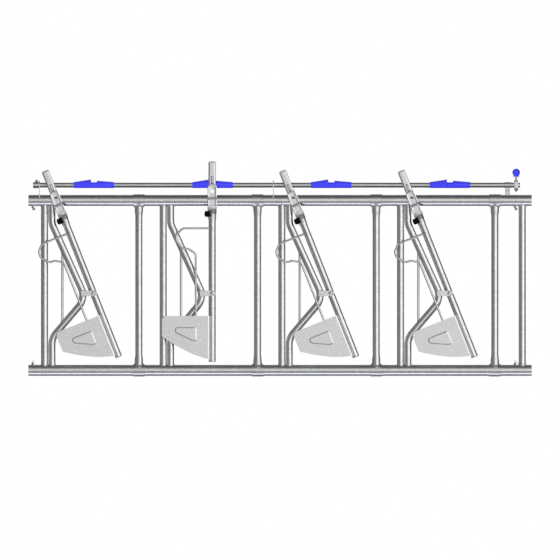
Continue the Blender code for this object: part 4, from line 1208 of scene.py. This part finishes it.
def guard_plate(sizes, gate):
    """The pressed sheet with its raised triangle, its step to the tube, its tabs and the rod's beads."""
    shape = joined(flat(PLATE_OUTLINE, filled=False), flat(EMBOSS_OUTLINE, filled=False))
    filled_in(shape, shape.edges[:])
    top = flat(EMBOSS_OUTLINE)
    dished(top, ((0.0011, 0.0003), (0.0025, 0.0011), (0.0025, 0.0011), (0.0011, 0.0003)))
    shape = joined(shape, top)
    bmesh.ops.remove_doubles(shape, verts=shape.verts, dist=1e-5)
    for x in FOLDS:
        sliced(shape, (x, 0, 0), (1, 0, 0))
    for vert in shape.verts:
        vert.co.y += joggle(vert.co.x, gate.plate_y, sizes.tube_radius + TRIM + gate.plate_thick)
    sheet = walled(shape, gate.plate_thick, lambda face: FRONT)
    rod_x, plate_top = ROD_CORNERS[-1][0], PLATE_OUTLINE[0][1]
    lap = [(rod_x + side * gate.rod_radius * 0.9, gate.plate_y + gate.plate_thick + 0.001,
            plate_top - 0.004 * i) for side in (-1, 1) for i in range(10)]
    return joined(sheet, weld(lap, 0.0022))


def rod_boss(sizes, gate):
    """The boss that holds the guard rod's end on the gate's tube."""
    seat, radius, aside = sizes.tube_radius - 0.002, 0.0094, -0.0070
    face = -gate.rod_y + gate.rod_radius + 0.0012
    shape = turned([(seat, 0), (seat, radius), (face - 0.0030, radius), (face - 0.0009, radius - 0.0009),
                    (face, radius - 0.0030), (face, 0)], 36)
    return placed(shape, shift(aside, 0, ROD_CORNERS[0][1]), turn(90, "X"))


class HEADLOCK_OT_gates(bpy.types.Operator):
    """Add the gates: tube, latch fork, tooth, rubber stop, guard rod and plate, and the fork's bolt"""
    bl_idname = "headlock.gates"
    bl_label = "Gates"

    def execute(self, context):
        sizes, gate = context.scene.headlock_frame, context.scene.headlock_gate
        kinds = (
            ("gate_tube", gate_tube, "galvanised_tube", None),
            ("latch_fork", fork_shape, "pressed_sheet", None),
            ("fork_sleeve", sleeve_shape, "galvanised_tube", "latch_fork"),
            # The collars and the rod bosses take the dull zinc whose dark tone is painted shade.
            ("fork_collar", collar_shape, "dull_collar", "latch_fork"),
            ("latch_tooth", tooth_shape, "plated_fastener", None),
            ("stop_buffer", buffer_shape, "black_rubber", None),
            ("neck_guard", guard_plate, "pressed_sheet", None),
            ("guard_rod", rod_loop, "galvanised_tube", "neck_guard"),
            ("rod_boss", rod_boss, "dull_collar", None),
            ("fork_bolt", fork_bolt, "plated_fastener", None),
        )
        shapes = [build(sizes, gate) for _, build, _, _ in kinds]
        for place in PLACES:
            for shape, (name, _, finish, node) in zip(shapes, kinds):
                part = placed(shape.copy(), stance(place))
                body = "tooth" if name == "latch_tooth" else "gate"
                slot = "galvanised_casting" if finish == "dull_collar" else finish
                piece(f"{name}_{place}_fine", part, f"{body}_{place}", slot,
                      f"{node}_{place}" if node else None, finish=finish)
        return {"FINISHED"}


# The stage


def stage_piece(name, shape, material, **seen_by):
    """A floor or backdrop, which is no part of the object, and which rays see it."""
    made = thing(name, shape)
    made.data.materials.append(material)
    for ray, seen in seen_by.items():
        setattr(made, f"visible_{ray}", seen)


def floor_material(tone):
    """Pale floor with a faint unevenness, lifted by a glow that only the camera sees."""
    material, recipe, surface, where = shader("pale_floor", 0.0, {
        "Emission Strength": 0.42, "Roughness": 0.8})
    base = recipe.blend(recipe.noise(where, 1.2, 3.0), tinted(tone, 0.985), tinted(tone, 1.015))
    glow = recipe.blend(recipe.node("ShaderNodeLightPath"), (0, 0, 0), (1, 1, 1))
    recipe.fill(surface.inputs["Base Color"], base)
    recipe.fill(surface.inputs["Emission Color"], glow)
    return material


def glow_material(name, paint):
    """A material that only shines, in the colour that a function makes of its recipe."""
    material = bpy.data.materials.new(name)
    material.use_nodes = True
    nodes = material.node_tree.nodes
    nodes.remove(nodes["Principled BSDF"])
    recipe = Recipe(material.node_tree)
    glow = recipe.node("ShaderNodeEmission", None, {"Color": paint(recipe), "Strength": 1.0})
    recipe.fill(nodes["Material Output"].inputs["Surface"], glow)
    material.cycles.emission_sampling = "NONE"
    return material


def painted_reflection_tone(recipe):
    """Painted reflections: white bands, grey bands, dark gaps and a lilac band below, all round by direction, on a
    dome that only glossy rays see.
    """
    where = recipe.node("ShaderNodeTexCoord", output=3)
    x, y, z = (recipe.node("ShaderNodeSeparateXYZ", None, {0: where}, number) for number in range(3))
    far = recipe.node("ShaderNodeVectorMath", {"operation": "LENGTH"}, {0: where}, 1)
    rise, behind, aside = z / far, y / far, abs(x / far)

    def edge(value, low, high):
        return recipe.spread(value, low, high, "SMOOTHSTEP")

    def sine(degrees):
        return math.sin(math.radians(degrees))

    around = recipe.node("ShaderNodeValToRGB", {"stops": [
        (degrees / 360 + 0.5, (level, level * 1.003, level)) for degrees, level in (
            (-180, 0.62), (-167, 0.56), (-158, 0.13), (-122, 0.23), (-60, 0.27), (-28, 0.30), (-11, 0.33),
            (-3, 0.74), (0, 0.98), (6, 1.26), (20, 1.44), (44, 1.52), (64, 1.46), (70, 1.10), (76, 0.30),
            (92, 0.22), (158, 0.13), (167, 0.46), (180, 0.62))
    ]}, {"Fac": x.maths("ARCTAN2", x, 0 - y) / math.tau + 0.5})
    over = recipe.node("ShaderNodeValToRGB", {"stops": [
        (0.57, (0.270, 0.272, 0.262)), (0.88, (0.240, 0.240, 0.232)),
        (0.97, (0.125,) * 3), (1.0, (0.115,) * 3),
    ]}, {"Fac": rise})
    under = recipe.blend(edge(behind, -0.05, 0.25), (0.29, 0.30, 0.335), (0.19, 0.195, 0.215))
    under = recipe.blend(edge(behind, 0.48, 0.62) * edge(aside, 0.3, 0.5), under, (0.60, 0.605, 0.62))
    tone = recipe.blend(edge(rise, sine(31), sine(38)), around, over)
    tone = recipe.blend(edge(rise, sine(-13), sine(-19)), tone, under)
    lilac = edge(rise, sine(-51), sine(-56)) * edge(behind, 0.03, -0.02)
    return recipe.blend(lilac, tone, (1.34, 1.36, 1.52))


def painted_shade_strip_tone(recipe):
    """Painted shade: the even dark grey of a glowing strip between the bar and the rail, seen only in reflections.
    """
    return (0.13, 0.13, 0.13)


def set_world(scene, light):
    """An even light, with a white background for the camera, reflections and what shines through."""
    world = scene.world = bpy.data.worlds.new("soft_studio")
    world.use_nodes = True
    world.node_tree.nodes.clear()
    recipe = Recipe(world.node_tree)
    camera, glossy, through = (recipe.node("ShaderNodeLightPath", output=ray) for ray in (0, 3, 6))
    soft, white = (recipe.node("ShaderNodeBackground", None, {"Color": (1, 1, 1), "Strength": strength})
                   for strength in (light, 1.0))
    mixed = recipe.node("ShaderNodeMixShader", None, {0: camera + glossy + through, 1: soft, 2: white})
    recipe.node("ShaderNodeOutputWorld", None, {"Surface": mixed})


class HEADLOCK_OT_stage(bpy.types.Operator):
    """Add the pale floor, the soft light, the glowing dome and strip that paint reflections and shade on the
    metal, and the camera
    """
    bl_idname = "headlock.stage"
    bl_label = "Stage"

    def execute(self, context):
        scene = context.scene
        stage = scene.headlock_stage
        floor, glossy_dome, strip = bmesh.new(), bmesh.new(), bmesh.new()
        bmesh.ops.create_grid(floor, x_segments=8, y_segments=8, size=50.0,
                              matrix=shift(z=Vector(CAD_BOX[0]).z - 0.0006))
        # The dome glows in bands by direction: painted reflections that only glossy rays see.
        bmesh.ops.create_uvsphere(glossy_dome, u_segments=96, v_segments=48, radius=60.0)
        # The strip is painted shade: it glows dark grey for glossy rays only, just below the bar.
        bmesh.ops.create_grid(strip, x_segments=1, y_segments=1, size=1.0, matrix=(
            shift(y=-0.030, z=stage.shade_strip_height) @ Matrix.Diagonal((1.7, 0.020, 1.0, 1.0))))
        stage_piece("floor", floor, floor_material(stage.floor_colour), glossy=False)
        # The dome and the strip glow for glossy rays only: painted reflections and painted shade on the metal.
        for name, shape, paint in (("painted_reflection_dome", glossy_dome, painted_reflection_tone), ("painted_shade_strip", strip, painted_shade_strip_tone)):
            stage_piece(name, shape, glow_material(name, paint), camera=False, diffuse=False,
                        transmission=False, volume_scatter=False, shadow=False)
        set_world(scene, stage.world_light)

        lamp = bpy.data.lights.new("soft_lamp", "AREA")
        lamp.shape, lamp.size, lamp.size_y = "RECTANGLE", 5.0, 3.0
        lamp.energy = stage.lamp_power
        holder = linked("soft_lamp", lamp)
        holder.location = (-1.0, -7.0, 1.3)
        aim = Vector((0, 0, 0.5)) - holder.location
        holder.rotation_euler = aim.to_track_quat("-Z", "Y").to_euler()
        holder.visible_glossy = False

        view = bpy.data.cameras.new("square_on")
        view.type = "ORTHO"
        view.ortho_scale = stage.view_width
        view.clip_end = 200.0
        camera = linked("square_on", view)
        camera.location = (-0.00024, -10.0, stage.view_height)
        camera.rotation_euler = (math.pi / 2, 0, 0)
        scene.camera = camera
        scene.view_settings.view_transform = "Standard"
        return {"FINISHED"}


class HEADLOCK_OT_finishes(bpy.types.Operator):
    """Make the materials of all finishes"""
    bl_idname = "headlock.finishes"
    bl_label = "Finishes"

    def execute(self, context):
        FINISHES.update(make_finishes())
        for part in frame["record"]["subparts"]:
            node = frame["nodes"][part["node"]]
            node.data.materials.clear()
            node.data.materials.append(FINISHES[part["material_slot"]])
        return {"FINISHED"}


STEPS = (
    HEADLOCK_OT_stage, HEADLOCK_OT_finishes, HEADLOCK_OT_rails, HEADLOCK_OT_posts, HEADLOCK_OT_tees,
    HEADLOCK_OT_necks, HEADLOCK_OT_pivot_bolts, HEADLOCK_OT_bearings, HEADLOCK_OT_release_bar,
    HEADLOCK_OT_catches, HEADLOCK_OT_handle, HEADLOCK_OT_gates,
)
GROUPS = {
    "headlock_frame": FrameSizes, "headlock_bar": BarSizes, "headlock_gate": GateSizes,
    "headlock_finishes": Finishes, "headlock_stage": StageSettings,
}


class HEADLOCK_PT_sidebar(bpy.types.Panel):
    """Steps and sizes of the headlock panel"""
    bl_idname = "HEADLOCK_PT_sidebar"
    bl_label = "Cattle headlock panel"
    bl_space_type = "VIEW_3D"
    bl_region_type = "UI"
    bl_category = "Headlock"

    def draw(self, context):
        layout = self.layout
        for step in STEPS:
            layout.operator(step.bl_idname)
        for group, kind in GROUPS.items():
            box = layout.box()
            for name in kind.__annotations__:
                box.prop(getattr(context.scene, group), name)


def register():
    for kind in (*GROUPS.values(), *STEPS, HEADLOCK_PT_sidebar):
        bpy.utils.register_class(kind)
    for group, kind in GROUPS.items():
        setattr(bpy.types.Scene, group, bpy.props.PointerProperty(type=kind))


def unregister():
    for group in GROUPS:
        delattr(bpy.types.Scene, group)
    for kind in (HEADLOCK_PT_sidebar, *reversed(STEPS), *GROUPS.values()):
        bpy.utils.unregister_class(kind)


def main():
    """Dress the panel, step by step."""
    register()
    for step in STEPS:
        family, name = step.bl_idname.split(".")
        getattr(getattr(bpy.ops, family), name)()


if __name__ == "__main__":
    main()
